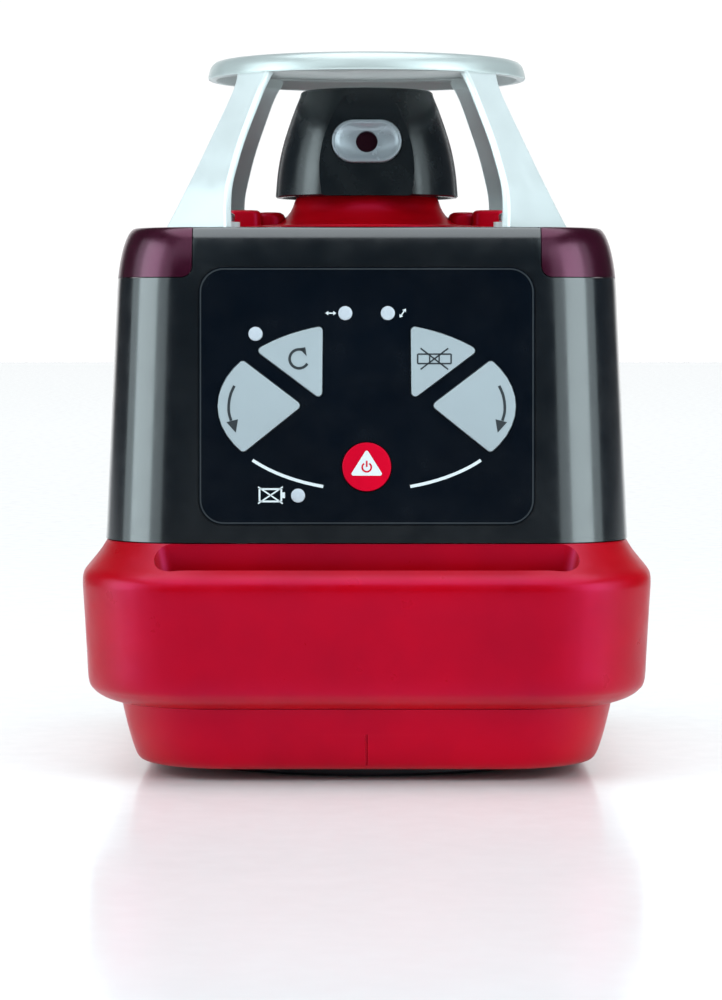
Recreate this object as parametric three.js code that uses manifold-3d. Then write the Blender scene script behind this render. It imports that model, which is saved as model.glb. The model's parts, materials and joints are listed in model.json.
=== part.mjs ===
// Rotating laser level: a self-levelling rotating laser under a cast guard, on a red bumpered base.
// Millimetres, +Z up, front face towards -Y, origin at the centre of the resting face.
import * as THREE from 'three';
import { mergeVertices } from 'three/addons/utils/BufferGeometryUtils.js';
import Module from 'manifold-3d';

const wasm = await Module();
wasm.setup();

// ---------------------------------------------------------------- driving dimensions

const GAP = 0.3; // between pieces that touch
const TINY = 0.06; // between a shaft and its bore
const WALL = 3; // thickness of the moulded shells

const PLATE_R = 63; // round foot plate
const PLATE_H = 3;
const BASE_Z = PLATE_H + GAP; // underside of the base shell
const BASE_SHOULDER_Z = 20.7; // ledge that the bumper stands on
const BUMPER_Z = BASE_SHOULDER_Z + GAP;
const BUMPER_TOP_Z = 66.1;
const HOUSING_Z = BUMPER_TOP_Z + GAP;
const HOUSING_TOP_Z = 153.4;
const HOUSING_HALF = 73.6; // half-width where the housing starts
const HOUSING_CORNER_R = 25;
const TAPER = 0.0473; // half-width lost per millimetre of height
const TOP_ROUND_Z = 136; // where the rounded top edge starts
const TOP_INSET = 4.3; // how far that edge turns in
const CEILING_Z = HOUSING_TOP_Z - WALL;

const POST = 41; // x and y of the four assembly posts
const POST_R = 4.6;
const SCREW_R = 2;
const BASE_SCREW_TOP_Z = 78;
const GUARD_SCREW_LOW_Z = 138;

const TROUGH_HALF_X = 57; // grip troughs in the front and back of the bumper
const TROUGH_NEAR_Y = 73.3;
const TROUGH_FAR_Y = 83;
const TROUGH_Z = 45;

const WINDOW_EDGE = 48.2; // corner windows start here in x and y
const WINDOW_Z = 139.6;

const PANEL_Z = 104; // height of the key ellipse's centre, the origin of the front face's own frame
const PANEL_HALF_X = 46.3;
const PANEL_LOW = 71.3 - PANEL_Z;
const PANEL_HIGH = 142.3 - PANEL_Z;
const PANEL_BACK = -0.7; // depth below and height above the housing's face
const PANEL_FRONT = 0.3;
const KEY_ELLIPSE_X = 41;
const KEY_ELLIPSE_Y = 23.1;
const KEY_FRONT = 1;
const KEY_FLANGE_BACK = -4.2;
const KEY_FLANGE_FRONT = -3.3;
const KEY_FLANGE_WIDTH = 0.8;
const BOARD_FRONT = -5.2;
const BOARD_THICK = 1.6;
const POWER_KEY_Y = -16.7;
const POWER_KEY_R = 6.7;
const LAMP_R = 2;
const LAMPS = [[-30.6, 19.9], [-5.9, 25.6], [5.8, 25.6], [-18.9, -24.6]];

const DOOR_HALF_X = 40; // battery door in the back of the housing
const DOOR_THICK = 2.7;
const DOOR_PIN_Z = 75;
const DOOR_TOP_Z = 141.2;
const DOOR_BARREL_R = 2.4;
const DOOR_PIN_R = 1;
const DOOR_GAP = 0.4;
const LOCK_Z = 134;
const LOCK_REACH = 10;

const CELL_R = 17.1; // two D cells, standing side by side
const CELL_H = 61.5;
const CELL_NUB_H = 1.5;
const CELL_NUB_R = 4.7;
const CELL_X = 17.25;
const CELL_Y = 49;
const CELL_Z = 76;
const BOX_WALL = 1.5;

const PIVOT_Z = 143; // both gimbal axes
const RING_IN_R = 25.5;
const RING_OUT_R = 29;
const RING_HALF_H = 3;
const PIN_R = 1.5;
const LUG_IN = 32.5;
const LUG_OUT = 38;
const CHASSIS_Z = 147.2;
const CHASSIS_TOP_Z = CEILING_Z - GAP;

const CARRIER_R = 12.5;
const BEARING_OUT_R = 10.5;
const BEARING_IN_R = 6;
const BEARING_H = 5;
const BEARING_LOW_Z = [132, 141.2];
const SPINDLE_R = BEARING_IN_R - 0.1;
const SPINDLE_BORE_R = 3.5;
const PULLEY_Z = 148;
const PULLEY_H = 2.4;
const BELT_THICK = 1;
const BELT_WIDTH = 2;
const BIG_PITCH_R = 12.8; // belt pitch radii, four to one
const SMALL_PITCH_R = 3.2;
const MOTOR_X = -18.5;
const MOTOR_R = 5.5;
const ARM_Z = 129.5; // levelling arms
const ARM_H = 3;
const ARM_REACH = 44;
const ACTUATOR_AT = 40;
const ACTUATOR_R = 8;
const SHELF_Z = 97;

const HEAD_Z = 163.6; // lower edge of the rotor head
const HEAD_TOP_Z = 195;
const BEAM_Z = 179.3;
const FACET_Y = -21.05; // flat front of the head, at the beam's height
const FACET_BACK_Y = -18.85;
const FACET_LEAN = 0.161; // angle by which the flat leans back
const FLANGE_FLAT_Y = -20;
const BEZEL_HALF_X = 10.1;
const BEZEL_HALF_Z = 6.3;
const FLANGE_Z = 168;

const COVER_R = 38; // red top cover
const COVER_Z = HOUSING_TOP_Z + GAP;
const COVER_H = 1.3;
const COLLAR_BORE_R = 15;
const COLLAR_TOP_Z = 164;

const DISC_TOP_Z = 203.4;
const DISC_R = 46.7;
const FOOT_H = 1.7; // feet of the guard's legs

// ---------------------------------------------------------------- solids

function signedVolume(position, index) {
  const a = new THREE.Vector3();
  const b = new THREE.Vector3();
  const c = new THREE.Vector3();
  let volume = 0;
  for (let i = 0; i < index.length; i += 3) {
    a.fromBufferAttribute(position, index[i]);
    b.fromBufferAttribute(position, index[i + 1]);
    c.fromBufferAttribute(position, index[i + 2]);
    volume += a.dot(b.cross(c)) / 6;
  }
  return volume;
}

// positions only, shared vertices merged, no collapsed triangles, faces pointing out
function closed(geometry) {
  const bare = new THREE.BufferGeometry();
  bare.setAttribute('position', geometry.getAttribute('position'));
  bare.setIndex(geometry.index);
  const merged = mergeVertices(bare, 1e-4);
  const old = merged.index.array;
  const index = [];
  for (let i = 0; i < old.length; i += 3) {
    const [a, b, c] = [old[i], old[i + 1], old[i + 2]];
    if (a !== b && b !== c && c !== a) index.push(a, b, c);
  }
  if (signedVolume(merged.getAttribute('position'), index) < 0) index.reverse();
  merged.setIndex(index);
  return merged;
}

function toManifold(geometry) {
  const solid = closed(geometry);
  return new wasm.Manifold(new wasm.Mesh({
    numProp: 3,
    vertProperties: new Float32Array(solid.getAttribute('position').array),
    triVerts: new Uint32Array(solid.index.array),
  }));
}

function fromManifold(manifold) {
  const mesh = manifold.getMesh();
  const geometry = new THREE.BufferGeometry();
  geometry.setAttribute('position', new THREE.BufferAttribute(mesh.vertProperties, 3));
  geometry.setIndex(Array.from(mesh.triVerts));
  return geometry;
}

function join(first, ...others) {
  return fromManifold(others.reduce((sum, g) => sum.add(toManifold(g)), toManifold(first)));
}

function cut(body, ...tools) {
  return fromManifold(tools.reduce((rest, g) => rest.subtract(toManifold(g)), toManifold(body)));
}

function common(first, second) {
  return fromManifold(toManifold(first).intersect(toManifold(second)));
}

function at(geometry, x, y, z) {
  return geometry.clone().translate(x, y, z);
}

function box(x0, x1, y0, y1, z0, z1) {
  const geometry = new THREE.BoxGeometry(x1 - x0, y1 - y0, z1 - z0);
  return geometry.translate((x0 + x1) / 2, (y0 + y1) / 2, (z0 + z1) / 2);
}

// a solid of revolution about Z, from a profile of [radius, height] points
function turned(profile, segments = 24) {
  const points = profile.map(([r, z]) => new THREE.Vector2(r, z));
  return new THREE.LatheGeometry(points, segments).rotateX(Math.PI / 2);
}

function rod(radius, low, high, segments = 16) {
  return turned([[0, low], [radius, low], [radius, high], [0, high]], segments);
}

function ring(inner, outer, low, high, segments = 24) {
  return turned([[inner, low], [outer, low], [outer, high], [inner, high], [inner, low]], segments);
}

function alongX(geometry) {
  return geometry.clone().rotateY(Math.PI / 2);
}

function alongY(geometry) {
  return geometry.clone().rotateX(-Math.PI / 2);
}

// a rounded rectangle, anticlockwise
function roundedRect(halfX, halfY, radius, steps = 5) {
  const points = [];
  [[1, 1], [-1, 1], [-1, -1], [1, -1]].forEach(([sx, sy], corner) => {
    for (let i = 0; i <= steps; i++) {
      const angle = (corner + i / steps) * Math.PI / 2;
      points.push(new THREE.Vector2(
        sx * (halfX - radius) + radius * Math.cos(angle),
        sy * (halfY - radius) + radius * Math.sin(angle),
      ));
    }
  });
  return points;
}

function prism(outline, low, high) {
  const shape = new THREE.Shape(outline);
  const geometry = new THREE.ExtrudeGeometry(shape, { depth: high - low, bevelEnabled: false });
  return geometry.translate(0, 0, low);
}

// a closed skin through level outlines that all have the same number of points
function loft(sections) {
  const count = sections[0].outline.length;
  const last = (sections.length - 1) * count;
  const positions = [];
  const index = [];
  sections.forEach(({ outline, z }) => {
    outline.forEach((p) => positions.push(p.x, p.y, z));
  });
  for (let start = 0; start < last; start += count) {
    for (let i = 0; i < count; i++) {
      const a = start + i;
      const b = start + (i + 1) % count;
      index.push(a, b, b + count, a, b + count, a + count);
    }
  }
  THREE.ShapeUtils.triangulateShape(sections[0].outline, []).forEach(([a, b, c]) => {
    index.push(c, b, a, last + a, last + b, last + c);
  });
  const geometry = new THREE.BufferGeometry();
  geometry.setAttribute('position', new THREE.Float32BufferAttribute(positions, 3));
  geometry.setIndex(index);
  return geometry;
}

// a loft of rounded rectangles given as [height, half x, half y, corner radius]
function roundedLoft(levels, steps) {
  return loft(levels.map(([z, x, y, r]) => ({ z, outline: roundedRect(x, y, r, steps) })));
}

// a convex outline moved outwards by a distance, each corner mitred
function grown(outline, distance) {
  return outline.map((point, i) => {
    const before = outline[(i + outline.length - 1) % outline.length];
    const after = outline[(i + 1) % outline.length];
    const inward = point.clone().sub(before).normalize();
    const outward = after.clone().sub(point).normalize();
    const normalA = new THREE.Vector2(inward.y, -inward.x);
    const normalB = new THREE.Vector2(outward.y, -outward.x);
    const bisector = normalA.clone().add(normalB).normalize();
    return point.clone().addScaledVector(bisector, distance / bisector.dot(normalA));
  });
}

// ---------------------------------------------------------------- the tapered housing's own frames

const TILT = Math.atan(TAPER);

function housingHalf(z) {
  return HOUSING_HALF - TAPER * (z - HOUSING_Z);
}

// frames on the sloping front and back faces: x across, z out of the face; y is up on the front
// face and down on the back face
const FRONT = new THREE.Matrix4().makeRotationX(Math.PI / 2 - TILT)
  .setPosition(0, -housingHalf(PANEL_Z), PANEL_Z);
const BACK = new THREE.Matrix4().makeRotationX(-(Math.PI / 2 - TILT))
  .setPosition(0, housingHalf(PANEL_Z), PANEL_Z);

function onFront(geometry) {
  return geometry.clone().applyMatrix4(FRONT);
}

function onBack(geometry) {
  return geometry.clone().applyMatrix4(BACK);
}

// height above the floor turned into distance along the back face's frame
function backY(z) {
  return (PANEL_Z - z) / Math.cos(TILT);
}

function housingLevels(inset, low, high) {
  const levels = [low, 100, TOP_ROUND_Z].map((z) => [z, housingHalf(z) - inset]);
  for (let i = 1; i <= 4; i++) {
    const angle = i / 4 * Math.PI / 2;
    const z = TOP_ROUND_Z + (high - TOP_ROUND_Z) * Math.sin(angle);
    levels.push([z, housingHalf(z) - TOP_INSET * (1 - Math.cos(angle)) - inset]);
  }
  return levels.map(([z, half]) => {
    const radius = HOUSING_CORNER_R - 0.6 * (HOUSING_HALF - half - inset) - inset;
    return [z, half, half, radius];
  });
}

function housingBlock() {
  return roundedLoft(housingLevels(0, HOUSING_Z, HOUSING_TOP_Z));
}

function housingCavity() {
  return roundedLoft(housingLevels(WALL, HOUSING_Z - 1, CEILING_Z));
}

// ---------------------------------------------------------------- base

const CORNERS = [[1, 1], [-1, 1], [-1, -1], [1, -1]];

function onPosts(geometry) {
  return CORNERS.map(([sx, sy]) => at(geometry, sx * POST, sy * POST, 0));
}

function basePlate() {
  const plate = turned([[0, 0], [PLATE_R - 1, 0], [PLATE_R, 1], [PLATE_R, PLATE_H], [0, PLATE_H]], 40);
  const headHole = rod(SCREW_R + 1.9, -1, PLATE_H + 1, 12);
  return cut(plate, rod(13.4, -1, PLATE_H + 1, 24), ...onPosts(headHole));
}

// a bush with a blind 5/8 inch thread, clamped by its own flange inside the base
function tripodInsert() {
  return turned([
    [6.9, 0.4], [12.6, 0.4], [13, 0.8], [13, 6.6], [17, 6.6], [17, 9], [13, 9], [13, 22],
    [0, 22], [0, 17], [6.9, 17], [6.9, 0.4],
  ], 24);
}

function baseShell() {
  const foot = roundedLoft([
    [BASE_Z, 62.4, 70.2, 24], [4.1, 64.2, 72, 25], [6.5, 65.6, 73.4, 26],
    [BASE_SHOULDER_Z, 69.2, 77, 27],
  ]);
  const sleeve = prism(roundedRect(68.2, 71, 22), 15, BUMPER_TOP_Z);
  const cavity = roundedLoft([
    [BASE_Z + WALL, 61.2, 67.4, 20], [BASE_SHOULDER_Z, 65.2, 68, 19], [BUMPER_TOP_Z + 1, 65.2, 68, 19],
  ]);
  const post = rod(POST_R, BASE_Z + 1, BUMPER_TOP_Z, 12);
  const standoff = rod(3, BASE_Z + 1, 49.6, 8);
  const standoffs = [[1, 1], [-1, 1], [-1, -1], [1, -1]].map(([sx, sy]) => at(standoff, sx * 28, sy * 22, 0));
  const hollow = cut(join(foot, sleeve), cavity, rod(13.4, 0, 8, 24));
  const screwHole = rod(SCREW_R + GAP, 0, BUMPER_TOP_Z + 1, 12);
  return cut(join(hollow, ...onPosts(post), ...standoffs), ...onPosts(screwHole));
}

// soft band around the base, with a finger trough behind its front and back rims
function bumper() {
  const block = roundedLoft([
    [BUMPER_Z, 70.4, 78.4, 26], [22.4, 73.9, 81.9, 28], [24.4, 76.6, 84.6, 29.5], [27.2, 78.1, 86.1, 30],
    [54, 79.4, 87.4, 30], [56, 79.5, 87, 30], [57.5, 79.3, 85.9, 30], [59, 78.4, 83.9, 29.5],
    [63, 75.1, 78.1, 27], [BUMPER_TOP_Z, 73.2, 74, 25.3],
  ], 7);
  const bore = prism(roundedRect(68.2 + GAP, 71 + GAP, 22 + GAP), BUMPER_Z - 1, BUMPER_TOP_Z + 1);
  const halfWidth = (TROUGH_FAR_Y - TROUGH_NEAR_Y) / 2;
  const trough = roundedLoft([
    [TROUGH_Z, TROUGH_HALF_X - 2, halfWidth - 1.8, 2], [TROUGH_Z + 2, TROUGH_HALF_X, halfWidth, 4],
    [BUMPER_TOP_Z + 1, TROUGH_HALF_X, halfWidth, 4],
  ], 3);
  const middle = (TROUGH_FAR_Y + TROUGH_NEAR_Y) / 2;
  return cut(block, bore, at(trough, 0, middle, 0), at(trough, 0, -middle, 0));
}

// long screw: its head hangs under the base's floor, inside the foot plate's hole
function baseScrew() {
  const head = 3.4;
  const body = turned([
    [0, 0.9], [head - 0.8, 0.9], [head, 1.6], [head, 3.1], [SCREW_R, 3.1],
    [SCREW_R, BASE_SCREW_TOP_Z - 1], [SCREW_R - 0.8, BASE_SCREW_TOP_Z], [0, BASE_SCREW_TOP_Z],
  ], 12);
  return cut(body, rod(1.5, 0, 2.2, 6));
}

// ---------------------------------------------------------------- housing

function windowRegion(sx, sy, margin) {
  const edge = WINDOW_EDGE - margin;
  const far = HOUSING_HALF + 5;
  const region = box(edge, far, edge, far, WINDOW_Z - margin, HOUSING_TOP_Z + 5);
  return region.scale(sx, sy, 1);
}

function housingShell() {
  const post = rod(POST_R, HOUSING_Z + 0.5, HOUSING_TOP_Z - 1, 12);
  const panelRecess = roundedRect(PANEL_HALF_X + GAP, (PANEL_HIGH - PANEL_LOW) / 2 + GAP, 7.3, 5);
  const recess = at(prism(panelRecess, PANEL_BACK - GAP, 5), 0, (PANEL_HIGH + PANEL_LOW) / 2, 0);
  const keyHoles = keyOutlines().map((key) => prism(grown(key.outline, GAP), -10, 5));
  const lampHoles = LAMPS.map(([x, y]) => at(rod(LAMP_R + 0.15, -10, 5, 12), x, y, 0));
  const doorLow = backY(DOOR_TOP_Z) - DOOR_GAP;
  const doorHigh = backY(DOOR_PIN_Z) + DOOR_BARREL_R + DOOR_GAP;
  const doorway = box(-DOOR_HALF_X - DOOR_GAP, DOOR_HALF_X + DOOR_GAP, doorLow, doorHigh, -6, 5);
  const ears = [-1, 1].map((side) => {
    const ear = box(DOOR_HALF_X + DOOR_GAP, 46, backY(DOOR_PIN_Z) - 4, backY(DOOR_PIN_Z) + 4, -5.5, -1);
    return onBack(ear.scale(side, 1, 1));
  });
  const pinHole = at(alongX(rod(DOOR_PIN_R + TINY, -44.4, 44.4, 16)), 0, backY(DOOR_PIN_Z), -DOOR_BARREL_R);
  const shell = join(cut(housingBlock(), housingCavity()), ...onPosts(post), ...ears);
  return cut(
    shell,
    ...CORNERS.map(([sx, sy]) => windowRegion(sx, sy, GAP)),
    ...onPosts(rod(SCREW_R + GAP, HOUSING_Z - 1, BASE_SCREW_TOP_Z + 1, 12)),
    ...onPosts(rod(SCREW_R + GAP, GUARD_SCREW_LOW_Z - 1, HOUSING_TOP_Z + 1, 12)),
    rod(33, CEILING_Z - 1, HOUSING_TOP_Z + 1, 32),
    onFront(recess),
    ...keyHoles.map(onFront),
    ...lampHoles.map(onFront),
    onBack(doorway),
    onBack(pinHole),
  );
}

function cornerWindow(sx, sy) {
  return cut(common(housingBlock(), windowRegion(sx, sy, 0)), housingCavity());
}

// ---------------------------------------------------------------- keypad, in the front face's frame

// points along the key ellipse between two angles, anticlockwise
function ellipseArc(from, to, steps) {
  const points = [];
  for (let i = 0; i <= steps; i++) {
    const angle = (from + (to - from) * i / steps) * Math.PI / 180;
    points.push(new THREE.Vector2(KEY_ELLIPSE_X * Math.cos(angle), KEY_ELLIPSE_Y * Math.sin(angle)));
  }
  return points;
}

function mirrored(outline) {
  return outline.map((p) => new THREE.Vector2(-p.x, p.y)).reverse();
}

function circle(x, y, radius, count) {
  const points = [];
  for (let i = 0; i < count; i++) {
    const angle = i / count * Math.PI * 2;
    points.push(new THREE.Vector2(x + radius * Math.cos(angle), y + radius * Math.sin(angle)));
  }
  return points;
}

function keyOutlines() {
  const rightUpper = [new THREE.Vector2(12.3, 1.6), ...ellipseArc(41.7, 72.8, 5)];
  const rightFan = [new THREE.Vector2(17.7, 0.2), ...ellipseArc(-33.9, 33.5, 8)];
  return [
    { name: 'key_upper_left', outline: mirrored(rightUpper) },
    { name: 'key_upper_right', outline: rightUpper },
    { name: 'key_turn_left', outline: mirrored(rightFan) },
    { name: 'key_turn_right', outline: rightFan },
    { name: 'key_power', outline: circle(0, POWER_KEY_Y, POWER_KEY_R, 24) },
  ];
}

function keypadPanel() {
  const height = (PANEL_HIGH - PANEL_LOW) / 2;
  const sheet = prism(roundedRect(PANEL_HALF_X, height, 7, 5), PANEL_BACK, PANEL_FRONT);
  const holes = keyOutlines().map((key) => prism(grown(key.outline, GAP), -5, 5));
  const lampHoles = LAMPS.map(([x, y]) => at(rod(LAMP_R + 0.15, -5, 5, 12), x, y, 0));
  return cut(at(sheet, 0, (PANEL_HIGH + PANEL_LOW) / 2, 0), ...holes, ...lampHoles);
}

function keyCap(outline) {
  const cap = prism(outline, KEY_FLANGE_BACK, KEY_FRONT);
  return join(cap, prism(grown(outline, KEY_FLANGE_WIDTH), KEY_FLANGE_BACK, KEY_FLANGE_FRONT));
}

function lamp([x, y]) {
  const shank = LAMP_R - 0.2;
  const body = turned([
    [0, -4.8], [LAMP_R + 0.6, -4.8], [LAMP_R + 0.6, KEY_FLANGE_FRONT], [shank, KEY_FLANGE_FRONT],
    [shank, 0.5], [shank - 0.3, 0.8], [0, 0.8],
  ], 12);
  return at(body, x, y, 0);
}

function keypadBoard() {
  const board = prism(roundedRect(44, 33, 3, 2), BOARD_FRONT - BOARD_THICK, BOARD_FRONT);
  const connector = box(-10, 10, -30, -25, BOARD_FRONT - BOARD_THICK - 4, BOARD_FRONT - 1);
  const chip = box(-26, -14, -6, 6, BOARD_FRONT - BOARD_THICK - 1.4, BOARD_FRONT - 1);
  return at(join(board, connector, chip), 0, 2.8, 0);
}

// ---------------------------------------------------------------- battery, in the back face's frame

function batteryDoor() {
  const pinY = backY(DOOR_PIN_Z);
  const plate = box(-DOOR_HALF_X, DOOR_HALF_X, backY(DOOR_TOP_Z), pinY, -DOOR_THICK, 0);
  const barrel = at(alongX(rod(DOOR_BARREL_R, -DOOR_HALF_X, DOOR_HALF_X, 16)), 0, pinY, -DOOR_BARREL_R);
  const pinBore = at(alongX(rod(DOOR_PIN_R + TINY, -50, 50, 16)), 0, pinY, -DOOR_BARREL_R);
  const lockBore = at(rod(3 + 0.1, -6, 6, 20), 0, backY(LOCK_Z), 0);
  return cut(join(plate, barrel), pinBore, lockBore);
}

function doorPin() {
  return at(alongX(rod(DOOR_PIN_R, -44, 44, 16)), 0, backY(DOOR_PIN_Z), -DOOR_BARREL_R);
}

// quarter-turn knob; its tongue lies across the door when unlocked
function batteryLock() {
  const knob = turned([[0, GAP], [8, GAP], [8, 1.4], [7.2, 2], [0, 2]], 24);
  const wing = prism(roundedRect(7, 1.3, 1.2, 3), 1.5, 4.2);
  const shaft = rod(3, -4.6, 1, 20);
  const tongue = box(-3.5, LOCK_REACH, -3, 3, -5.6, -4.2);
  return at(join(knob, wing, shaft, tongue), 0, backY(LOCK_Z), 0);
}

function batteryBox() {
  const halfX = CELL_X + CELL_R + GAP + BOX_WALL;
  const nearY = CELL_Y - CELL_R - GAP;
  const low = CELL_Z - GAP;
  const high = CELL_Z + CELL_H + 1.6;
  const outer = box(-halfX, halfX, nearY - BOX_WALL, 66, low - BOX_WALL, high + BOX_WALL);
  const inner = box(-halfX + BOX_WALL, halfX - BOX_WALL, nearY, 70, low, high);
  const tongueNotch = box(-12, 12, 60, 70, high - 1, high + 3);
  const frontWindow = box(-halfX + 8, halfX - 8, nearY - 3, nearY + 1, low + 10, high - 18);
  return cut(outer, inner, tongueNotch, frontWindow);
}

function batteryCell() {
  const body = CELL_H - CELL_NUB_H;
  return turned([
    [0, 0], [CELL_R - 1, 0], [CELL_R, 1], [CELL_R, body - 1], [CELL_R - 1, body],
    [CELL_NUB_R, body], [CELL_NUB_R, CELL_H], [0, CELL_H],
  ], 20);
}

// ---------------------------------------------------------------- chassis and levelling

// hung under the housing's ceiling: two lugs for the outer gimbal pins, two shelves for the actuators
function chassisFrame() {
  const plate = ring(31.5, 48, CHASSIS_Z, CHASSIS_TOP_Z, 32);
  const lugs = [-1, 1].map((side) => {
    return box(LUG_IN, LUG_OUT, -6, 6, PIVOT_Z - 5, CHASSIS_Z + 1).scale(side, 1, 1);
  });
  const hanger = join(
    box(44, 51.5, -8, 8, CHASSIS_Z, CHASSIS_TOP_Z),
    box(49, 51.5, -8, 8, SHELF_Z, CHASSIS_TOP_Z),
    box(31, 51.5, -9, 9, SHELF_Z, SHELF_Z + 2.5),
  );
  const frontHanger = hanger.clone().rotateZ(-Math.PI / 2);
  const pinBore = at(alongX(rod(PIN_R + TINY, -60, 60, 16)), 0, 0, PIVOT_Z);
  const open = cut(join(plate, ...lugs), pinBore);
  return join(open, hanger, frontHanger);
}

function gimbalRing() {
  const band = ring(RING_IN_R, RING_OUT_R, PIVOT_Z - RING_HALF_H, PIVOT_Z + RING_HALF_H, 36);
  const outerBore = at(alongX(rod(PIN_R + TINY, -40, 40, 16)), 0, 0, PIVOT_Z);
  const innerBore = at(alongY(rod(PIN_R + TINY, -40, 40, 16)), 0, 0, PIVOT_Z);
  return cut(band, outerBore, innerBore);
}

function gimbalPin(side) {
  const pin = alongX(rod(PIN_R, RING_IN_R + 0.3, LUG_OUT - 0.2, 16));
  return at(pin.scale(side, 1, 1), 0, 0, PIVOT_Z);
}

// casting that carries the spindle bearings, motor, laser tube and levelling arms; its own
// trunnions turn in the gimbal ring
function laserCarrier() {
  const barrel = rod(CARRIER_R, 127, 146.5, 24);
  const trunnions = [-1, 1].map((side) => {
    const boss = join(rod(3.5, 9, RING_IN_R - 0.4, 16), rod(PIN_R, 20, RING_OUT_R - 0.2, 16));
    return at(alongY(boss).scale(1, side, 1), 0, 0, PIVOT_Z);
  });
  const motorSeat = join(
    at(rod(MOTOR_R + 0.8, 143.6, 146.5, 24), MOTOR_X, 0, 0),
    box(MOTOR_X, 0, -5, 5, 143.6, 146.5),
  );
  const armX = box(9, ARM_REACH, -4, 4, ARM_Z, ARM_Z + ARM_H);
  const armY = box(-4, 4, -ARM_REACH, -9, ARM_Z, ARM_Z + ARM_H);
  return cut(
    join(barrel, ...trunnions, motorSeat, armX, armY),
    rod(BEARING_OUT_R + 0.05, 131.8, 150, 24),
    rod(8.3, 120, 133, 24),
    at(rod(1.4, 140, 150, 16), MOTOR_X, 0, 0),
  );
}

function levelMotor() {
  const can = rod(ACTUATOR_R, SHELF_Z + 2.8, 118, 20);
  const nose = rod(4, 117, 121, 20);
  return cut(join(can, nose), rod(2 + TINY, 105, 125, 16));
}

function levelPlunger() {
  return turned([[0, 109], [2, 109], [2, 128], [1.2, 129], [0, ARM_Z - 0.3]], 16);
}

function laserTube() {
  return ring(6, 8, 92, 131.4, 24);
}

function collimatorLens() {
  return turned([[0, 121], [3, 121.3], [5.7, 122.5], [5.7, 124.5], [3, 125.6], [0, 126]], 16);
}

function laserDiode() {
  return turned([
    [0, 89.5], [5.7, 89.5], [5.7, 93.5], [4.5, 93.5], [4.5, 97.6], [0, 97.6],
  ], 16);
}

function tiltSensor() {
  return cut(prism(roundedRect(12, 12, 2, 3), 100, 109), rod(8.3, 99, 110, 24));
}

function bearing(low) {
  return ring(BEARING_IN_R, BEARING_OUT_R, low, low + BEARING_H);
}

// ---------------------------------------------------------------- rotor

function driveMotor() {
  const body = turned([
    [0, 121], [2, 121], [2, 122], [MOTOR_R, 122], [MOTOR_R, 143.3], [0.75, 143.3], [0.75, 150.9], [0, 150.9],
  ], 16);
  return at(body, MOTOR_X, 0, 0);
}

function pulleyProfile(inner, pitch) {
  const seat = pitch - BELT_THICK / 2 - GAP;
  const rim = pitch + BELT_THICK / 2;
  return [
    [inner, PULLEY_Z - 0.7], [rim, PULLEY_Z - 0.7], [rim, PULLEY_Z - 0.2], [seat, PULLEY_Z],
    [seat, PULLEY_Z + PULLEY_H], [rim, PULLEY_Z + PULLEY_H + 0.2], [rim, PULLEY_Z + PULLEY_H + 0.6],
    [inner, PULLEY_Z + PULLEY_H + 0.6],
  ];
}

function motorPulley() {
  const profile = pulleyProfile(0.75 + TINY, SMALL_PITCH_R);
  return at(turned([...profile, profile[0]], 16), MOTOR_X, 0, 0);
}

// outline of an open belt around the two pulleys, at a distance from the pitch line
function beltOutline(offset, steps) {
  const big = BIG_PITCH_R + offset;
  const small = SMALL_PITCH_R + offset;
  const wrap = Math.acos((BIG_PITCH_R - SMALL_PITCH_R) / -MOTOR_X);
  const points = [];
  for (let i = 0; i <= steps; i++) {
    const angle = -(Math.PI - wrap) + 2 * (Math.PI - wrap) * i / steps;
    points.push(new THREE.Vector2(big * Math.cos(angle), big * Math.sin(angle)));
  }
  for (let i = 0; i <= 8; i++) {
    const angle = Math.PI - wrap + 2 * wrap * i / 8;
    points.push(new THREE.Vector2(MOTOR_X + small * Math.cos(angle), small * Math.sin(angle)));
  }
  return points;
}

function driveBelt() {
  const shape = new THREE.Shape(beltOutline(BELT_THICK / 2, 20));
  shape.holes.push(new THREE.Path(beltOutline(-BELT_THICK / 2, 20)));
  const loop = new THREE.ExtrudeGeometry(shape, { depth: BELT_WIDTH, bevelEnabled: false });
  return loop.translate(0, 0, PULLEY_Z + 0.2);
}

// hollow shaft with the driven pulley and the flange that the head and prism sit on
function rotorSpindle() {
  const body = turned([
    [SPINDLE_BORE_R, 131.6], [SPINDLE_R, 131.6], [SPINDLE_R, PULLEY_Z - 0.7],
    ...pulleyProfile(SPINDLE_R, BIG_PITCH_R).slice(1, -1), [SPINDLE_R, PULLEY_Z + PULLEY_H + 0.6],
    [SPINDLE_R, FLANGE_Z], [24, FLANGE_Z], [24, FLANGE_Z + 2],
    [9, FLANGE_Z + 2], [9, 173.2], [SPINDLE_BORE_R, 173.2], [SPINDLE_BORE_R, 131.6],
  ], 24);
  return cut(body, box(-30, 30, -30, FLANGE_FLAT_Y, FLANGE_Z - 1, FLANGE_Z + 3));
}

// turns a piece of the head's flat front, built upright, back to the flat's lean
function leaning(geometry) {
  return at(at(geometry, 0, -FACET_Y, -BEAM_Z).rotateX(-FACET_LEAN), 0, FACET_Y, BEAM_Z);
}

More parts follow.
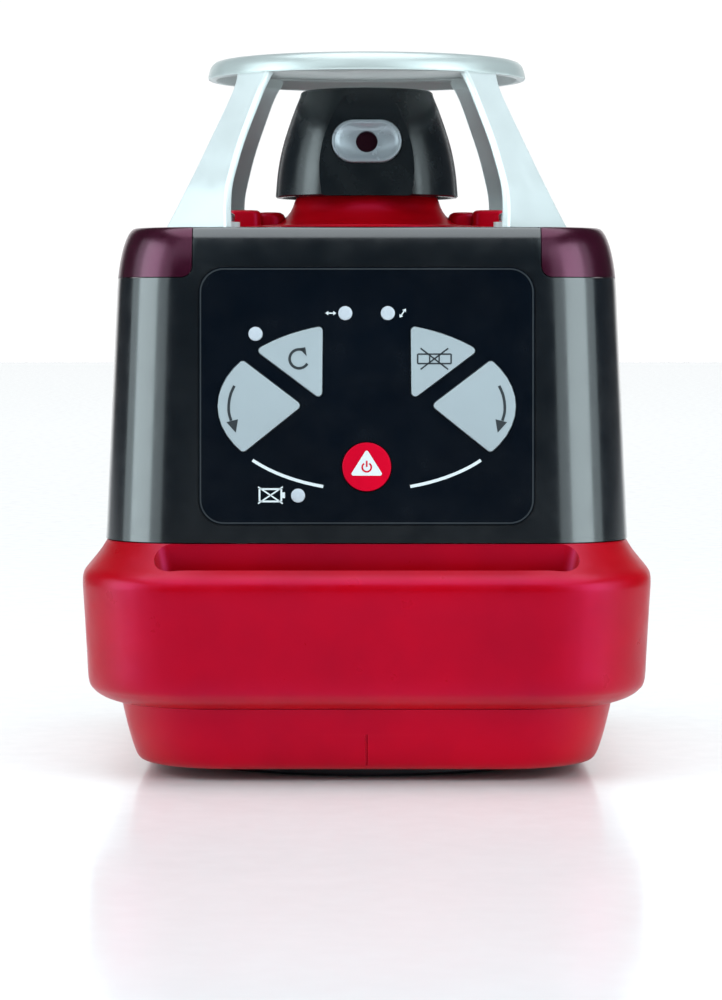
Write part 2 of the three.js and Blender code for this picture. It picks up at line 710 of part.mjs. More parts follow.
function rotorHead() {
  const outside = [
    [26.9, HEAD_Z], [26.4, 170], [25.8, 174.6], [24.8, 179], [23.3, 183.6], [21.4, 189],
    [19.5, 194.2], [18.7, HEAD_TOP_Z], [0, HEAD_TOP_Z],
  ];
  const inside = [[0, 192.6], [17.5, 192.6], [19.4, 188], [22.4, 179.5], [23.9, 174], [24.5, 169], [24.9, HEAD_Z]];
  const shell = turned([...inside, ...outside], 36);
  const block = turned([[0, HEAD_Z], ...outside], 36);
  const facetWall = common(block, leaning(box(-16, 16, -30, FACET_BACK_Y, HEAD_Z - 10, 188)));
  const slot = prism(roundedRect(BEZEL_HALF_X + GAP, BEZEL_HALF_Z + GAP, BEZEL_HALF_Z, 5), 14, 30);
  return cut(
    join(shell, facetWall),
    leaning(box(-20, 20, -40, FACET_Y, 140, 210)),
    leaning(at(slot.rotateX(Math.PI / 2), 0, 0, BEAM_Z)),
  );
}

function windowBezel() {
  const plate = prism(roundedRect(BEZEL_HALF_X, BEZEL_HALF_Z, BEZEL_HALF_Z - 0.1, 5), 19.15, 22.05);
  const aperture = rod(3.15, 15, 30, 16);
  return leaning(at(cut(plate, aperture).rotateX(Math.PI / 2), 0, 0, BEAM_Z));
}

function windowGlass() {
  return leaning(at(rod(5.2, 17.4, 18.8, 16).rotateX(Math.PI / 2), 0, 0, BEAM_Z));
}

// five-sided prism: the beam enters its lower face and leaves its front face
function pentaPrism() {
  const face = 12;
  const diagonal = face * Math.SQRT2;
  const outline = [[0, 0], [face, 0], [diagonal, face], [face, diagonal], [0, face]];
  const shape = outline.map(([y, z]) => new THREE.Vector2(y - face / 2, z));
  const body = prism(shape, -6, 6);
  // the outline's own axes become Y and Z, and its depth becomes X
  body.applyMatrix4(new THREE.Matrix4().makeBasis(
    new THREE.Vector3(0, 1, 0), new THREE.Vector3(0, 0, 1), new THREE.Vector3(1, 0, 0),
  ));
  return at(body, 0, 0, BEAM_Z - face / 2);
}

// ---------------------------------------------------------------- top cover and guard

function topCover() {
  const low = COVER_Z;
  const plate = low + COVER_H;
  const skin = turned([
    [COLLAR_BORE_R, low], [COVER_R, low], [COVER_R, plate - 0.4], [COVER_R - 0.4, plate], [29.6, plate],
    [27.4, 155.6], [25.4, 156.5], [23.7, 157.9], [22.2, 159.6], [21.3, 162], [20.6, COLLAR_TOP_Z],
    [COLLAR_BORE_R, COLLAR_TOP_Z], [COLLAR_BORE_R, low],
  ], 36);
  const pads = [-1, 1].map((side) => {
    const block = prism(roundedRect(5, 12, 2.5, 3), low, 159.8);
    const lump = roundedLoft([[low + 0.2, 4.6, 9, 4], [158.4, 4.4, 8.8, 4], [159.3, 3, 7.4, 2.8]], 4);
    return join(at(block, side * 36, 0, 0), at(lump, side * 28.6, 0, 0));
  });
  return join(skin, ...pads);
}

// half-width across the diagonal, distance from the axis and half-thickness of a leg, by height
const LEG_SECTIONS = [
  [COVER_Z, 12.5, 66.9, 1.7], [159, 10.4, 65.1, 1.6], [165, 8.6, 62.8, 1.5], [171, 7.5, 59.8, 1.5],
  [179, 6.5, 55.6, 1.5], [189, 5.8, 49.8, 1.5], [195, 5.4, 46.4, 1.5], [199, 5.6, 44.7, 1.5],
  [202, 5.6, 43.4, 1.4],
];

function guardLeg(quarter) {
  const plate = loft(LEG_SECTIONS.map(([z, half, distance, thick]) => ({
    z,
    outline: roundedRect(thick, half, 1, 1).map((p) => p.clone().add(new THREE.Vector2(distance, 0))),
  })));
  const tongue = [[53.4, 1.8], [55, 4], [58, 4.9], [61, 6], [63, 9], [66.9, 10.5]];
  const footEdge = [...tongue.map(([d, half]) => [d, -half]), ...tongue.reverse()];
  const foot = prism(footEdge.map(([d, half]) => new THREE.Vector2(d, half)), COVER_Z, COVER_Z + FOOT_H);
  const hole = at(rod(SCREW_R + GAP, COVER_Z - 1, COVER_Z + 5, 16), POST * Math.SQRT2, 0, 0);
  return cut(join(plate, foot), hole).rotateZ((quarter + 0.5) * Math.PI / 2);
}

function guardFrame() {
  const dish = turned([
    [0, 201.2], [41.6, 201.2], [42.9, 200.6], [44.2, 198], [46.2, 198], [DISC_R, 198.6],
    [46, 201.4], [45.1, 202.7], [43.4, DISC_TOP_Z], [0, DISC_TOP_Z],
  ], 48);
  return join(dish, guardLeg(0), guardLeg(1), guardLeg(2), guardLeg(3));
}

function guardScrew() {
  const seat = COVER_Z + FOOT_H + GAP;
  const body = turned([
    [0, GUARD_SCREW_LOW_Z], [SCREW_R - 0.8, GUARD_SCREW_LOW_Z], [SCREW_R, GUARD_SCREW_LOW_Z + 1],
    [SCREW_R, seat], [3.6, seat], [3.6, seat + 1.6], [2.8, seat + 2.3], [0, seat + 2.3],
  ], 12);
  return cut(body, rod(1.5, seat + 1, seat + 4, 6));
}

function mainBoard() {
  const board = prism(roundedRect(50, 32, 3, 2), 50, 51.6);
  return join(
    board,
    box(-20, 0, -8, 8, 51, 53),
    box(12, 24, -12, 4, 51, 54.5),
    box(-44, -36, -16, 16, 51, 59),
    box(30, 44, 14, 22, 51, 57),
    at(rod(5, 51, 62, 16), 36, -14, 0),
  );
}

// ---------------------------------------------------------------- materials

function finish(color, roughness, metalness) {
  return new THREE.MeshStandardMaterial({ color, roughness, metalness });
}

const red = () => finish(0xbe0f28, 0.5, 0);
const softRed = () => finish(0xc2112c, 0.65, 0);
const black = () => finish(0x171d24, 0.35, 0);
const blackSteel = () => finish(0x1a1e24, 0.45, 0.4);
const cast = () => finish(0xdde4e4, 0.4, 0.7);
const steel = () => finish(0xb4b8bc, 0.3, 1);
const brass = () => finish(0xb08d4a, 0.35, 1);
const aluminium = () => finish(0xa9adb2, 0.4, 0.9);
const burgundy = () => finish(0x56101e, 0.15, 0);
const keyGrey = () => finish(0xb8c4c8, 0.5, 0);
const lampWhite = () => finish(0xe6e8f0, 0.3, 0);
const circuitGreen = () => finish(0x1f5a35, 0.6, 0);
const glass = () => finish(0xc8dcd8, 0.05, 0);
const rubberBlack = () => finish(0x101114, 0.8, 0);
const cellLabel = () => finish(0x3c4046, 0.4, 0.3);

// ---------------------------------------------------------------- assembly

const level = new THREE.Group();
const frontFace = new THREE.Group();
const backFace = new THREE.Group();
frontFace.applyMatrix4(FRONT);
backFace.applyMatrix4(BACK);
level.add(frontFace, backFace);

function piece(group, name, geometry, material) {
  const mesh = new THREE.Mesh(closed(geometry), material);
  mesh.name = name;
  group.add(mesh);
  return mesh;
}

piece(level, 'base_plate', basePlate(), blackSteel());
piece(level, 'tripod_insert', tripodInsert(), steel());
piece(level, 'base_shell', baseShell(), red());
piece(level, 'bumper', bumper(), softRed());
piece(level, 'housing_shell', housingShell(), black());
piece(level, 'top_cover', topCover(), red());
piece(level, 'guard_frame', guardFrame(), cast());
piece(level, 'main_board', mainBoard(), circuitGreen());
piece(level, 'chassis_frame', chassisFrame(), aluminium());

CORNERS.forEach(([sx, sy], i) => {
  piece(level, `base_screw_${i + 1}`, baseScrew(), steel()).position.set(sx * POST, sy * POST, 0);
  piece(level, `guard_screw_${i + 1}`, guardScrew(), steel()).position.set(sx * POST, sy * POST, 0);
  piece(level, `corner_window_${i + 1}`, cornerWindow(sx, sy), burgundy());
});

piece(frontFace, 'keypad_panel', keypadPanel(), black());
piece(frontFace, 'keypad_board', keypadBoard(), circuitGreen());
keyOutlines().forEach(({ name, outline }) => {
  piece(frontFace, name, keyCap(outline), name === 'key_power' ? red() : keyGrey());
});
LAMPS.forEach((place, i) => {
  piece(frontFace, `lamp_${i + 1}`, lamp(place), lampWhite());
});

piece(backFace, 'battery_door', batteryDoor(), black());
piece(backFace, 'battery_lock', batteryLock(), black());
piece(backFace, 'door_pin', doorPin(), steel());
piece(level, 'battery_box', batteryBox(), rubberBlack());
piece(level, 'battery_cell_1', batteryCell(), cellLabel()).position.set(-CELL_X, CELL_Y, CELL_Z);
const flippedCell = piece(level, 'battery_cell_2', batteryCell(), cellLabel());
flippedCell.position.set(CELL_X, CELL_Y, CELL_Z + CELL_H);
flippedCell.rotation.x = Math.PI;

piece(level, 'gimbal_ring', gimbalRing(), aluminium());
piece(level, 'gimbal_pin_left', gimbalPin(-1), steel());
piece(level, 'gimbal_pin_right', gimbalPin(1), steel());
piece(level, 'laser_carrier', laserCarrier(), aluminium());
piece(level, 'level_motor_x', levelMotor(), steel()).position.set(ACTUATOR_AT, 0, 0);
piece(level, 'level_motor_y', levelMotor(), steel()).position.set(0, -ACTUATOR_AT, 0);
piece(level, 'level_plunger_x', levelPlunger(), brass()).position.set(ACTUATOR_AT, 0, 0);
piece(level, 'level_plunger_y', levelPlunger(), brass()).position.set(0, -ACTUATOR_AT, 0);
piece(level, 'laser_tube', laserTube(), aluminium());
piece(level, 'collimator_lens', collimatorLens(), glass());
piece(level, 'laser_diode', laserDiode(), brass());
piece(level, 'tilt_sensor', tiltSensor(), circuitGreen());
BEARING_LOW_Z.forEach((low, i) => {
  piece(level, `spindle_bearing_${i + 1}`, bearing(low), steel());
});
piece(level, 'drive_motor', driveMotor(), steel());
piece(level, 'motor_pulley', motorPulley(), brass());
piece(level, 'drive_belt', driveBelt(), rubberBlack());
piece(level, 'rotor_spindle', rotorSpindle(), aluminium());
piece(level, 'rotor_head', rotorHead(), black());
piece(level, 'window_bezel', windowBezel(), cast());
piece(level, 'window_glass', windowGlass(), glass());
piece(level, 'penta_prism', pentaPrism(), glass());

export default level;
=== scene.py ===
# Looks of the rotating laser level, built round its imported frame. Shapes are worked out in
# millimetres in the frame's axes (+Z up, front towards -Y) and turned into metres when made.
import json
import math

import bmesh
import bpy
from mathutils import Matrix, Vector


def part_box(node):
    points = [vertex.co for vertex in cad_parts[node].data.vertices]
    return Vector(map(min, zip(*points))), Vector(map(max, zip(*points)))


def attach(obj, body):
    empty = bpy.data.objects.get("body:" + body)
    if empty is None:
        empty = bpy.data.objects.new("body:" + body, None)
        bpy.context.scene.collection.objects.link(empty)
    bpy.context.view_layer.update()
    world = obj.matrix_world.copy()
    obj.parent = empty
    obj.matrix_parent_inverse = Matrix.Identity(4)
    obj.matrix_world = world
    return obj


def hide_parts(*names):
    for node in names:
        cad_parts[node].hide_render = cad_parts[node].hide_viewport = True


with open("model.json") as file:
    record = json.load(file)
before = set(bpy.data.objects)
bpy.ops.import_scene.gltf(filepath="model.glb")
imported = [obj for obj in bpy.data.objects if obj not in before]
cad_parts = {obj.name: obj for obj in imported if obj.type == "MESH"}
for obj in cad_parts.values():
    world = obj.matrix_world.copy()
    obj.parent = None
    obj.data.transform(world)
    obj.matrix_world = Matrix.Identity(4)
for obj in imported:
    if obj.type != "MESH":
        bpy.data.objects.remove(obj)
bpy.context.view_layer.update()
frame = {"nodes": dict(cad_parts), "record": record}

MM = 0.001


def low(node):
    """Lowest corner of a CAD node, in millimetres."""
    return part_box(node)[0] / MM


def high(node):
    """Highest corner of a CAD node, in millimetres."""
    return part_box(node)[1] / MM


# ------------------------------------------------------------------ sizes, from the frame

GAP = 0.3
WALL = 3.0
HOUSING_Z = low("housing_shell").z
HOUSING_TOP = high("housing_shell").z
HOUSING_HALF = high("housing_shell").x
TAPER = 0.0473
TILT = math.atan(TAPER)
TOP_ROUND_Z = HOUSING_TOP - 17.4
TOP_INSET = 4.3
CORNER_R = 25.0
WINDOW_EDGE = low("corner_window_1").x
WINDOW_Z = low("corner_window_1").z
PANEL_MID_Z = 104.0
COVER_Z = low("top_cover").z
COVER_TOP = high("top_cover").z
HEAD_Z = low("rotor_head").z
HEAD_TOP = high("rotor_head").z
HEAD_R = high("rotor_head").x
BEZEL_HALF_X = high("window_bezel").x
BEZEL_HALF_Z = 6.3
BEAM_Z = 179.3
FACET_Y = -21.05
FACET_LEAN = 0.161
FOOT_H = 1.7
DISC_TOP = high("guard_frame").z
BUMPER_TOP = high("bumper").z
BUMPER_X = high("bumper").x
BUMPER_Y = high("bumper").y
BASE_Z = low("base_shell").z
PLATE_R = high("base_plate").x
PLATE_H = high("base_plate").z
POST = (low("base_screw_1").x + high("base_screw_1").x) / 2
BUSH_R = 13.4
LOCK_Z = 134.0
CORNERS = ((1, 1), (-1, 1), (-1, -1), (1, -1))


def housing_half(z):
    return HOUSING_HALF - TAPER * (z - HOUSING_Z)


# the sloping faces' own frames: x across and z out of the face; y is up on the front face and
# down on the back face
FRONT = Matrix.Translation((0, -housing_half(PANEL_MID_Z), PANEL_MID_Z)) @ Matrix.Rotation(
    math.pi / 2 - TILT, 4, "X")
BACK = Matrix.Translation((0, housing_half(PANEL_MID_Z), PANEL_MID_Z)) @ Matrix.Rotation(
    TILT - math.pi / 2, 4, "X")


def back_y(z):
    return (PANEL_MID_Z - z) / math.cos(TILT)


# ------------------------------------------------------------------ mesh making

def make(name, verts, faces):
    mesh = bpy.data.meshes.new(name)
    mesh.from_pydata([Vector(v) * MM for v in verts], [], faces)
    obj = bpy.data.objects.new(name, mesh)
    bpy.context.scene.collection.objects.link(obj)
    work = bmesh.new()
    work.from_mesh(mesh)
    bmesh.ops.remove_doubles(work, verts=work.verts, dist=1e-7)
    bmesh.ops.recalc_face_normals(work, faces=work.faces)
    work.to_mesh(mesh)
    work.free()
    return obj


def moved(obj, matrix):
    """The mesh moved by a matrix whose translation is in millimetres."""
    metres = matrix.copy()
    metres.translation = matrix.translation * MM
    obj.data.transform(metres)
    return obj


def shift(obj, x, y, z):
    return moved(obj, Matrix.Translation((x, y, z)))


def rounded_rect(half_x, half_y, radius, steps=12):
    points = []
    for corner, (sx, sy) in enumerate(CORNERS):
        for i in range(steps + 1):
            angle = (corner + i / steps) * math.pi / 2
            points.append((sx * (half_x - radius) + radius * math.cos(angle),
                           sy * (half_y - radius) + radius * math.sin(angle)))
    return points


def loft(name, sections):
    """A closed skin through (height, outline) sections with equal numbers of points."""
    count = len(sections[0][1])
    verts = [(x, y, z) for z, outline in sections for x, y in outline]
    faces = [tuple(reversed(range(count)))]
    for s in range(len(sections) - 1):
        for i in range(count):
            a = s * count + i
            b = s * count + (i + 1) % count
            faces.append((a, b, b + count, a + count))
    top = (len(sections) - 1) * count
    faces.append(tuple(range(top, top + count)))
    return make(name, verts, faces)


def rounded_loft(name, levels, steps=12):
    return loft(name, [(z, rounded_rect(x, y, r, steps)) for z, x, y, r in levels])


def prism(name, outline, z0, z1):
    return loft(name, [(z0, outline), (z1, outline)])


def lathe(name, profile, segments=96):
    """A solid of revolution about Z. The profile starts and ends on the axis, or closes on itself."""
    verts, rings = [], []
    for r, z in profile:
        if r < 1e-6:
            rings.append([len(verts)] * segments)
            verts.append((0, 0, z))
        else:
            rings.append(list(range(len(verts), len(verts) + segments)))
            verts += [(r * math.cos(2 * math.pi * i / segments),
                       r * math.sin(2 * math.pi * i / segments), z) for i in range(segments)]
    faces = []
    pairs = list(zip(rings, rings[1:]))
    if profile[0][0] > 1e-6:
        pairs.append((rings[-1], rings[0]))
    for lower, upper in pairs:
        for i in range(segments):
            j = (i + 1) % segments
            corners = [lower[i], lower[j], upper[j], upper[i]]
            face = [c for k, c in enumerate(corners) if c not in corners[:k]]
            if len(face) > 2:
                faces.append(tuple(face))
    return make(name, verts, faces)


def rod(name, radius, z0, z1, segments=48):
    return lathe(name, [(0, z0), (radius, z0), (radius, z1), (0, z1)], segments)


def box(name, x0, x1, y0, y1, z0, z1):
    return prism(name, [(x0, y0), (x1, y0), (x1, y1), (x0, y1)], z0, z1)


def apply_modifiers(obj):
    graph = bpy.context.evaluated_depsgraph_get()
    mesh = bpy.data.meshes.new_from_object(obj.evaluated_get(graph))
    obj.modifiers.clear()
    obj.data = mesh
    return obj


def boolean(obj, tool, operation="DIFFERENCE"):
    modifier = obj.modifiers.new("boolean", "BOOLEAN")
    modifier.operation = operation
    modifier.solver = "MANIFOLD"
    modifier.object = tool
    apply_modifiers(obj)
    bpy.data.objects.remove(tool)
    return obj


def cut(obj, *tools):
    for tool in tools:
        boolean(obj, tool)
    return obj


def join(obj, *others):
    for other in others:
        boolean(obj, other, "UNION")
    return obj


def bevel(obj, width, segments=3, angle=35):
    modifier = obj.modifiers.new("bevel", "BEVEL")
    modifier.width = width * MM
    modifier.segments = segments
    modifier.limit_method = "ANGLE"
    modifier.angle_limit = math.radians(angle)
    modifier.harden_normals = False
    modifier.miter_outer = "MITER_ARC"
    return apply_modifiers(obj)


def clean(obj):
    """Welds doubled points and drops faces with no area, so that the mesh has no strays."""
    work = bmesh.new()
    work.from_mesh(obj.data)
    bmesh.ops.remove_doubles(work, verts=work.verts, dist=2e-6)
    bmesh.ops.dissolve_degenerate(work, edges=work.edges, dist=1e-6)
    work.to_mesh(obj.data)
    work.free()
    return obj


def smooth(obj, angle=32):
    """Smooth shading up to an angle, with normals weighted by area so that flats stay flat."""
    obj.data.shade_smooth()
    obj.data.set_sharp_from_angle(angle=math.radians(angle))
    modifier = obj.modifiers.new("weighted", "WEIGHTED_NORMAL")
    modifier.keep_sharp = True
    modifier.weight = 50
    return apply_modifiers(obj)


def piece(obj, name, body, slot, material, *nodes, angle=32):
    obj.name = name
    clean(obj)
    smooth(obj, angle)
    obj.data.materials.clear()
    obj.data.materials.append(material)
    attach(obj, body)
    if nodes:
        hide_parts(*nodes)
    return obj


def fillet(outline, radius, steps=6, limit=25):
    """The outline with its sharp corners turned into arcs."""
    points = [Vector(p) for p in outline]
    result = []
    for i, point in enumerate(points):
        to_last = (points[i - 1] - point).normalized()
        to_next = (points[(i + 1) % len(points)] - point).normalized()
        turn = math.pi - to_last.angle(to_next)
        if math.degrees(turn) < limit:
            result.append(tuple(point))
            continue
        reach = radius * math.tan(turn / 2)
        start = point + to_last * reach
        end = point + to_next * reach
        centre = point + (to_last + to_next).normalized() * (radius / math.cos(turn / 2))
        first = start - centre
        sweep = first.angle_signed(end - centre)
        for k in range(steps + 1):
            step = Matrix.Rotation(-sweep * k / steps, 2) @ first
            result.append(tuple(centre + step))
    return result


def grown(outline, distance):
    """A convex outline moved outwards."""
    result = []
    for i, p in enumerate(outline):
        p = Vector(p)
        before = (p - Vector(outline[i - 1])).normalized()
        after = (Vector(outline[(i + 1) % len(outline)]) - p).normalized()
        a, b = Vector((before.y, -before.x)), Vector((after.y, -after.x))
        middle = (a + b).normalized()
        result.append(tuple(p + middle * (distance / max(0.3, middle.dot(a)))))
    return result


def spline(points, count):
    """A smooth curve through points of any dimension, as count + 1 samples."""
    ends = [2 * Vector(points[0]) - Vector(points[1])]
    knots = ends + [Vector(p) for p in points] + [2 * Vector(points[-1]) - Vector(points[-2])]
    samples = []
    for k in range(count + 1):
        place = k / count * (len(points) - 1)
        i = min(int(place), len(points) - 2)
        t = place - i
        a, b, c, d = knots[i:i + 4]
        samples.append(0.5 * (2 * b + (c - a) * t + (2 * a - 5 * b + 4 * c - d) * t * t
                              + (3 * b - a - 3 * c + d) * t * t * t))
    return samples


# ------------------------------------------------------------------ materials

def nodes_of(name):
    material = bpy.data.materials.new(name)
    material.use_nodes = True
    return material, material.node_tree.nodes, material.node_tree.links


def noise(nodes, links, scale, detail=4.0, roughness=0.55):
    place = nodes.new("ShaderNodeTexCoord")
    texture = nodes.new("ShaderNodeTexNoise")
    texture.inputs["Scale"].default_value = scale
    texture.inputs["Detail"].default_value = detail
    texture.inputs["Roughness"].default_value = roughness
    links.new(place.outputs["Object"], texture.inputs["Vector"])
    return texture.outputs["Fac"]


def spread(nodes, links, source, to_low, to_high, from_low=0.3, from_high=0.7):
    ranged = nodes.new("ShaderNodeMapRange")
    ranged.inputs["From Min"].default_value = from_low
    ranged.inputs["From Max"].default_value = from_high
    ranged.inputs["To Min"].default_value = to_low
    ranged.inputs["To Max"].default_value = to_high
    links.new(source, ranged.inputs["Value"])
    return ranged.outputs["Result"]


def tinted(nodes, links, source, dark, light):
    mix = nodes.new("ShaderNodeMix")
    mix.data_type = "RGBA"
    mix.inputs[6].default_value = (*dark, 1)
    mix.inputs[7].default_value = (*light, 1)
    links.new(source, mix.inputs[0])
    return mix.outputs[2]


def bumped(nodes, links, shader, sources):
    """Bump nodes in a chain, from (height, strength, distance in mm)."""
    last = None
    for height, strength, distance in sources:
        bump = nodes.new("ShaderNodeBump")
        bump.inputs["Strength"].default_value = strength
        bump.inputs["Distance"].default_value = distance * MM
        links.new(height, bump.inputs["Height"])
        if last:
            links.new(last, bump.inputs["Normal"])
        last = bump.outputs["Normal"]
    links.new(last, shader.inputs["Normal"])


def moulded(name, color, rough, grain=1400, depth=0.02, vary=0.12, rough_vary=0.06, coat=0.0,
            specular=0.5, worn=0.0, metallic=0.0, scuff=0.0, sheen=(1, 1, 1), upper=None):
    """Moulded, painted or cast surface: fine grain, uneven gloss, slight colour drift, worn edges.

    sheen tints the glints, and upper is a height in mm with a second colour painted above it as shade, a
    darker tone standing for the dark surroundings those faces reflect."""
    material, nodes, links = nodes_of(name)
    shader = nodes["Principled BSDF"]
    dark = [c * (1 - vary) for c in color]
    light = [min(1, c * (1 + vary)) for c in color]
    drift = noise(nodes, links, 35, 3)
    tone = tinted(nodes, links, spread(nodes, links, drift, 0, 1), dark, light)
    if worn:
        geometry = nodes.new("ShaderNodeNewGeometry")
        edge = spread(nodes, links, geometry.outputs["Pointiness"], 0, worn, 0.515, 0.6)
        mix = nodes.new("ShaderNodeMix")
        mix.data_type = "RGBA"
        mix.inputs[7].default_value = (*[min(1, c * 1.5 + 0.05) for c in color], 1)
        links.new(edge, mix.inputs[0])
        links.new(tone, mix.inputs[6])
        tone = mix.outputs[2]
    # painted shade: above the height the colour turns to the second, darker one, in place of reflected dark
    # surroundings
    if upper:
        height, painted_shade_color = upper
        place = nodes.new("ShaderNodeTexCoord")
        split = nodes.new("ShaderNodeSeparateXYZ")
        links.new(place.outputs["Object"], split.inputs["Vector"])
        band = nodes.new("ShaderNodeMix")
        band.data_type = "RGBA"
        band.inputs[7].default_value = (*painted_shade_color, 1)
        rise = spread(nodes, links, split.outputs["Z"], 0, 1, (height - 1) * MM, height * MM)
        links.new(rise, band.inputs[0])
        links.new(tone, band.inputs[6])
        tone = band.outputs[2]
    links.new(tone, shader.inputs["Base Color"])
    gloss = noise(nodes, links, 120, 5)
    links.new(spread(nodes, links, gloss, rough - rough_vary, rough + rough_vary),
              shader.inputs["Roughness"])
    shader.inputs["Metallic"].default_value = metallic
    shader.inputs["Specular IOR Level"].default_value = specular
    shader.inputs["Specular Tint"].default_value = (*sheen, 1)
    shader.inputs["Coat Weight"].default_value = coat
    shader.inputs["Coat Roughness"].default_value = 0.13
    layers = [(noise(nodes, links, grain, 2), 0.35, depth)]
    if scuff:
        layers.append((noise(nodes, links, 260, 6, 0.7), scuff, 0.05))
    bumped(nodes, links, shader, layers)
    return material


def turned_metal(name, color, rough, stretch=(400, 400, 4000)):
    """Machined metal: fine tool lines round the piece, uneven polish."""
    material, nodes, links = nodes_of(name)
    shader = nodes["Principled BSDF"]
    place = nodes.new("ShaderNodeTexCoord")
    mapping = nodes.new("ShaderNodeMapping")
    mapping.inputs["Scale"].default_value = stretch
    lines = nodes.new("ShaderNodeTexNoise")
    lines.inputs["Scale"].default_value = 1.0
    lines.inputs["Detail"].default_value = 3.0
    links.new(place.outputs["Object"], mapping.inputs["Vector"])
    links.new(mapping.outputs["Vector"], lines.inputs["Vector"])
    tone = spread(nodes, links, noise(nodes, links, 60), 0, 1)
    links.new(tinted(nodes, links, tone, [c * 0.85 for c in color], color),
              shader.inputs["Base Color"])
    links.new(spread(nodes, links, lines.outputs["Fac"], rough - 0.08, rough + 0.1),
              shader.inputs["Roughness"])
    shader.inputs["Metallic"].default_value = 1.0
    bumped(nodes, links, shader, [(lines.outputs["Fac"], 0.25, 0.02)])
    return material


def tinted_window(name, color, coat=0.15):
    """Dark tinted plastic that lets a little light through, polished with faint flow marks."""
    material, nodes, links = nodes_of(name)
    shader = nodes["Principled BSDF"]
    tone = spread(nodes, links, noise(nodes, links, 50, 2), 0, 1)
    links.new(tinted(nodes, links, tone, [c * 0.7 for c in color], color),
              shader.inputs["Base Color"])
    links.new(spread(nodes, links, noise(nodes, links, 200), 0.2, 0.27), shader.inputs["Roughness"])
    shader.inputs["Transmission Weight"].default_value = 0.2
    shader.inputs["IOR"].default_value = 1.55
    shader.inputs["Specular IOR Level"].default_value = 0.7
    shader.inputs["Specular Tint"].default_value = (1.0, 0.35, 0.6, 1)
    shader.inputs["Coat Weight"].default_value = coat
    shader.inputs["Coat Roughness"].default_value = 0.15
    bumped(nodes, links, shader, [(noise(nodes, links, 90, 2), 0.08, 0.1)])
    return material


def clear_glass(name, color):
    material, nodes, links = nodes_of(name)
    shader = nodes["Principled BSDF"]
    tone = spread(nodes, links, noise(nodes, links, 80, 2), 0, 1)
    links.new(tinted(nodes, links, tone, [c * 0.95 for c in color], color),
              shader.inputs["Base Color"])
    links.new(spread(nodes, links, noise(nodes, links, 300), 0.02, 0.05), shader.inputs["Roughness"])
    shader.inputs["Transmission Weight"].default_value = 0.9
    shader.inputs["IOR"].default_value = 1.5
    bumped(nodes, links, shader, [(noise(nodes, links, 40, 1), 0.02, 0.05)])
    return material


def circuit_board(name):
    """Green solder mask with lighter track lines."""
    material, nodes, links = nodes_of(name)
    shader = nodes["Principled BSDF"]
    place = nodes.new("ShaderNodeTexCoord")
    bricks = nodes.new("ShaderNodeTexBrick")
    bricks.inputs["Scale"].default_value = 160
    bricks.inputs["Mortar Size"].default_value = 0.03
    bricks.inputs["Color1"].default_value = (0.012, 0.1, 0.035, 1)
    bricks.inputs["Color2"].default_value = (0.015, 0.13, 0.045, 1)
    bricks.inputs["Mortar"].default_value = (0.04, 0.25, 0.09, 1)
    links.new(place.outputs["Object"], bricks.inputs["Vector"])
    links.new(bricks.outputs["Color"], shader.inputs["Base Color"])
    links.new(spread(nodes, links, noise(nodes, links, 200), 0.3, 0.45), shader.inputs["Roughness"])
    bumped(nodes, links, shader, [(bricks.outputs["Fac"], 0.2, 0.03)])
    return material


PINK = (1.0, 0.10, 0.40)  # tint of the glints on the red mouldings
LOOKS = {
    "red_plastic": moulded("red_plastic", (0.46, 0.0004, 0.005), 0.34, 1200, 0.03, worn=0.08, specular=0.6,
                           sheen=PINK),
    "soft_red": moulded("soft_red", (0.40, 0.0003, 0.004), 0.33, 900, 0.05, scuff=0.1, worn=0.1,
                        specular=0.8, sheen=PINK),
    "black_plastic": moulded("black_plastic", (0.0012, 0.0038, 0.0062), 0.2, 1500, 0.008, coat=1.0,
                             worn=0.05, specular=0.6),
    "black_steel": moulded("black_steel", (0.012, 0.014, 0.020), 0.5, 1000, 0.05, metallic=0.3),
    "keypad_film": moulded("keypad_film", (0.001, 0.003, 0.0065), 0.22, 2500, 0.004, specular=0.25),
    "grey_key": moulded("grey_key", (0.36, 0.41, 0.44), 0.55, 1800, 0.015, vary=0.04, specular=0.3),
    "red_key": moulded("red_key", (0.60, 0.001, 0.016), 0.38, 1800, 0.012, sheen=PINK),
    "white_lamp": moulded("white_lamp", (0.52, 0.56, 0.62), 0.3, 1500, 0.01, vary=0.04, coat=0.3),
    "burgundy_window": tinted_window("burgundy_window", (0.03, 0.0008, 0.009)),
    # the disc above 198.5 mm is painted a darker grey as shade, for the dark room its rim and underside
    # reflect; the legs keep the light grey
    "cast_aluminium": moulded("cast_aluminium", (0.86, 0.92, 0.92), 0.34, 1100, 0.04, vary=0.02,
                              metallic=0.4, scuff=0.06, upper=(198.5, (0.56, 0.61, 0.60))),
    "aluminium": turned_metal("aluminium", (0.62, 0.64, 0.66), 0.35),
    "steel": turned_metal("steel", (0.5, 0.51, 0.53), 0.28),
    "brass": turned_metal("brass", (0.6, 0.42, 0.16), 0.3),
    "circuit_board": circuit_board("circuit_board"),
    "black_rubber": moulded("black_rubber", (0.012, 0.012, 0.014), 0.65, 900, 0.05, scuff=0.15),
    "cell_jacket": moulded("cell_jacket", (0.07, 0.08, 0.1), 0.3, 600, 0.01, metallic=0.6),
    "clear_glass": clear_glass("clear_glass", (0.8, 0.9, 0.88)),
}
MARK_WHITE = moulded("mark_white", (0.72, 0.76, 0.78), 0.5, 2500, 0.005, vary=0.03)
FILM_EDGE = moulded("film_edge", (0.02, 0.026, 0.032), 0.4, 2500, 0.005, vary=0.1)
MARK_DARK = moulded("mark_dark", (0.02, 0.026, 0.032), 0.5, 2500, 0.005, vary=0.1)
HEAD_BLACK = moulded("head_black", (0.002, 0.006, 0.009), 0.25, 1500, 0.015, worn=0.05, coat=0.2,
                     specular=0.6)
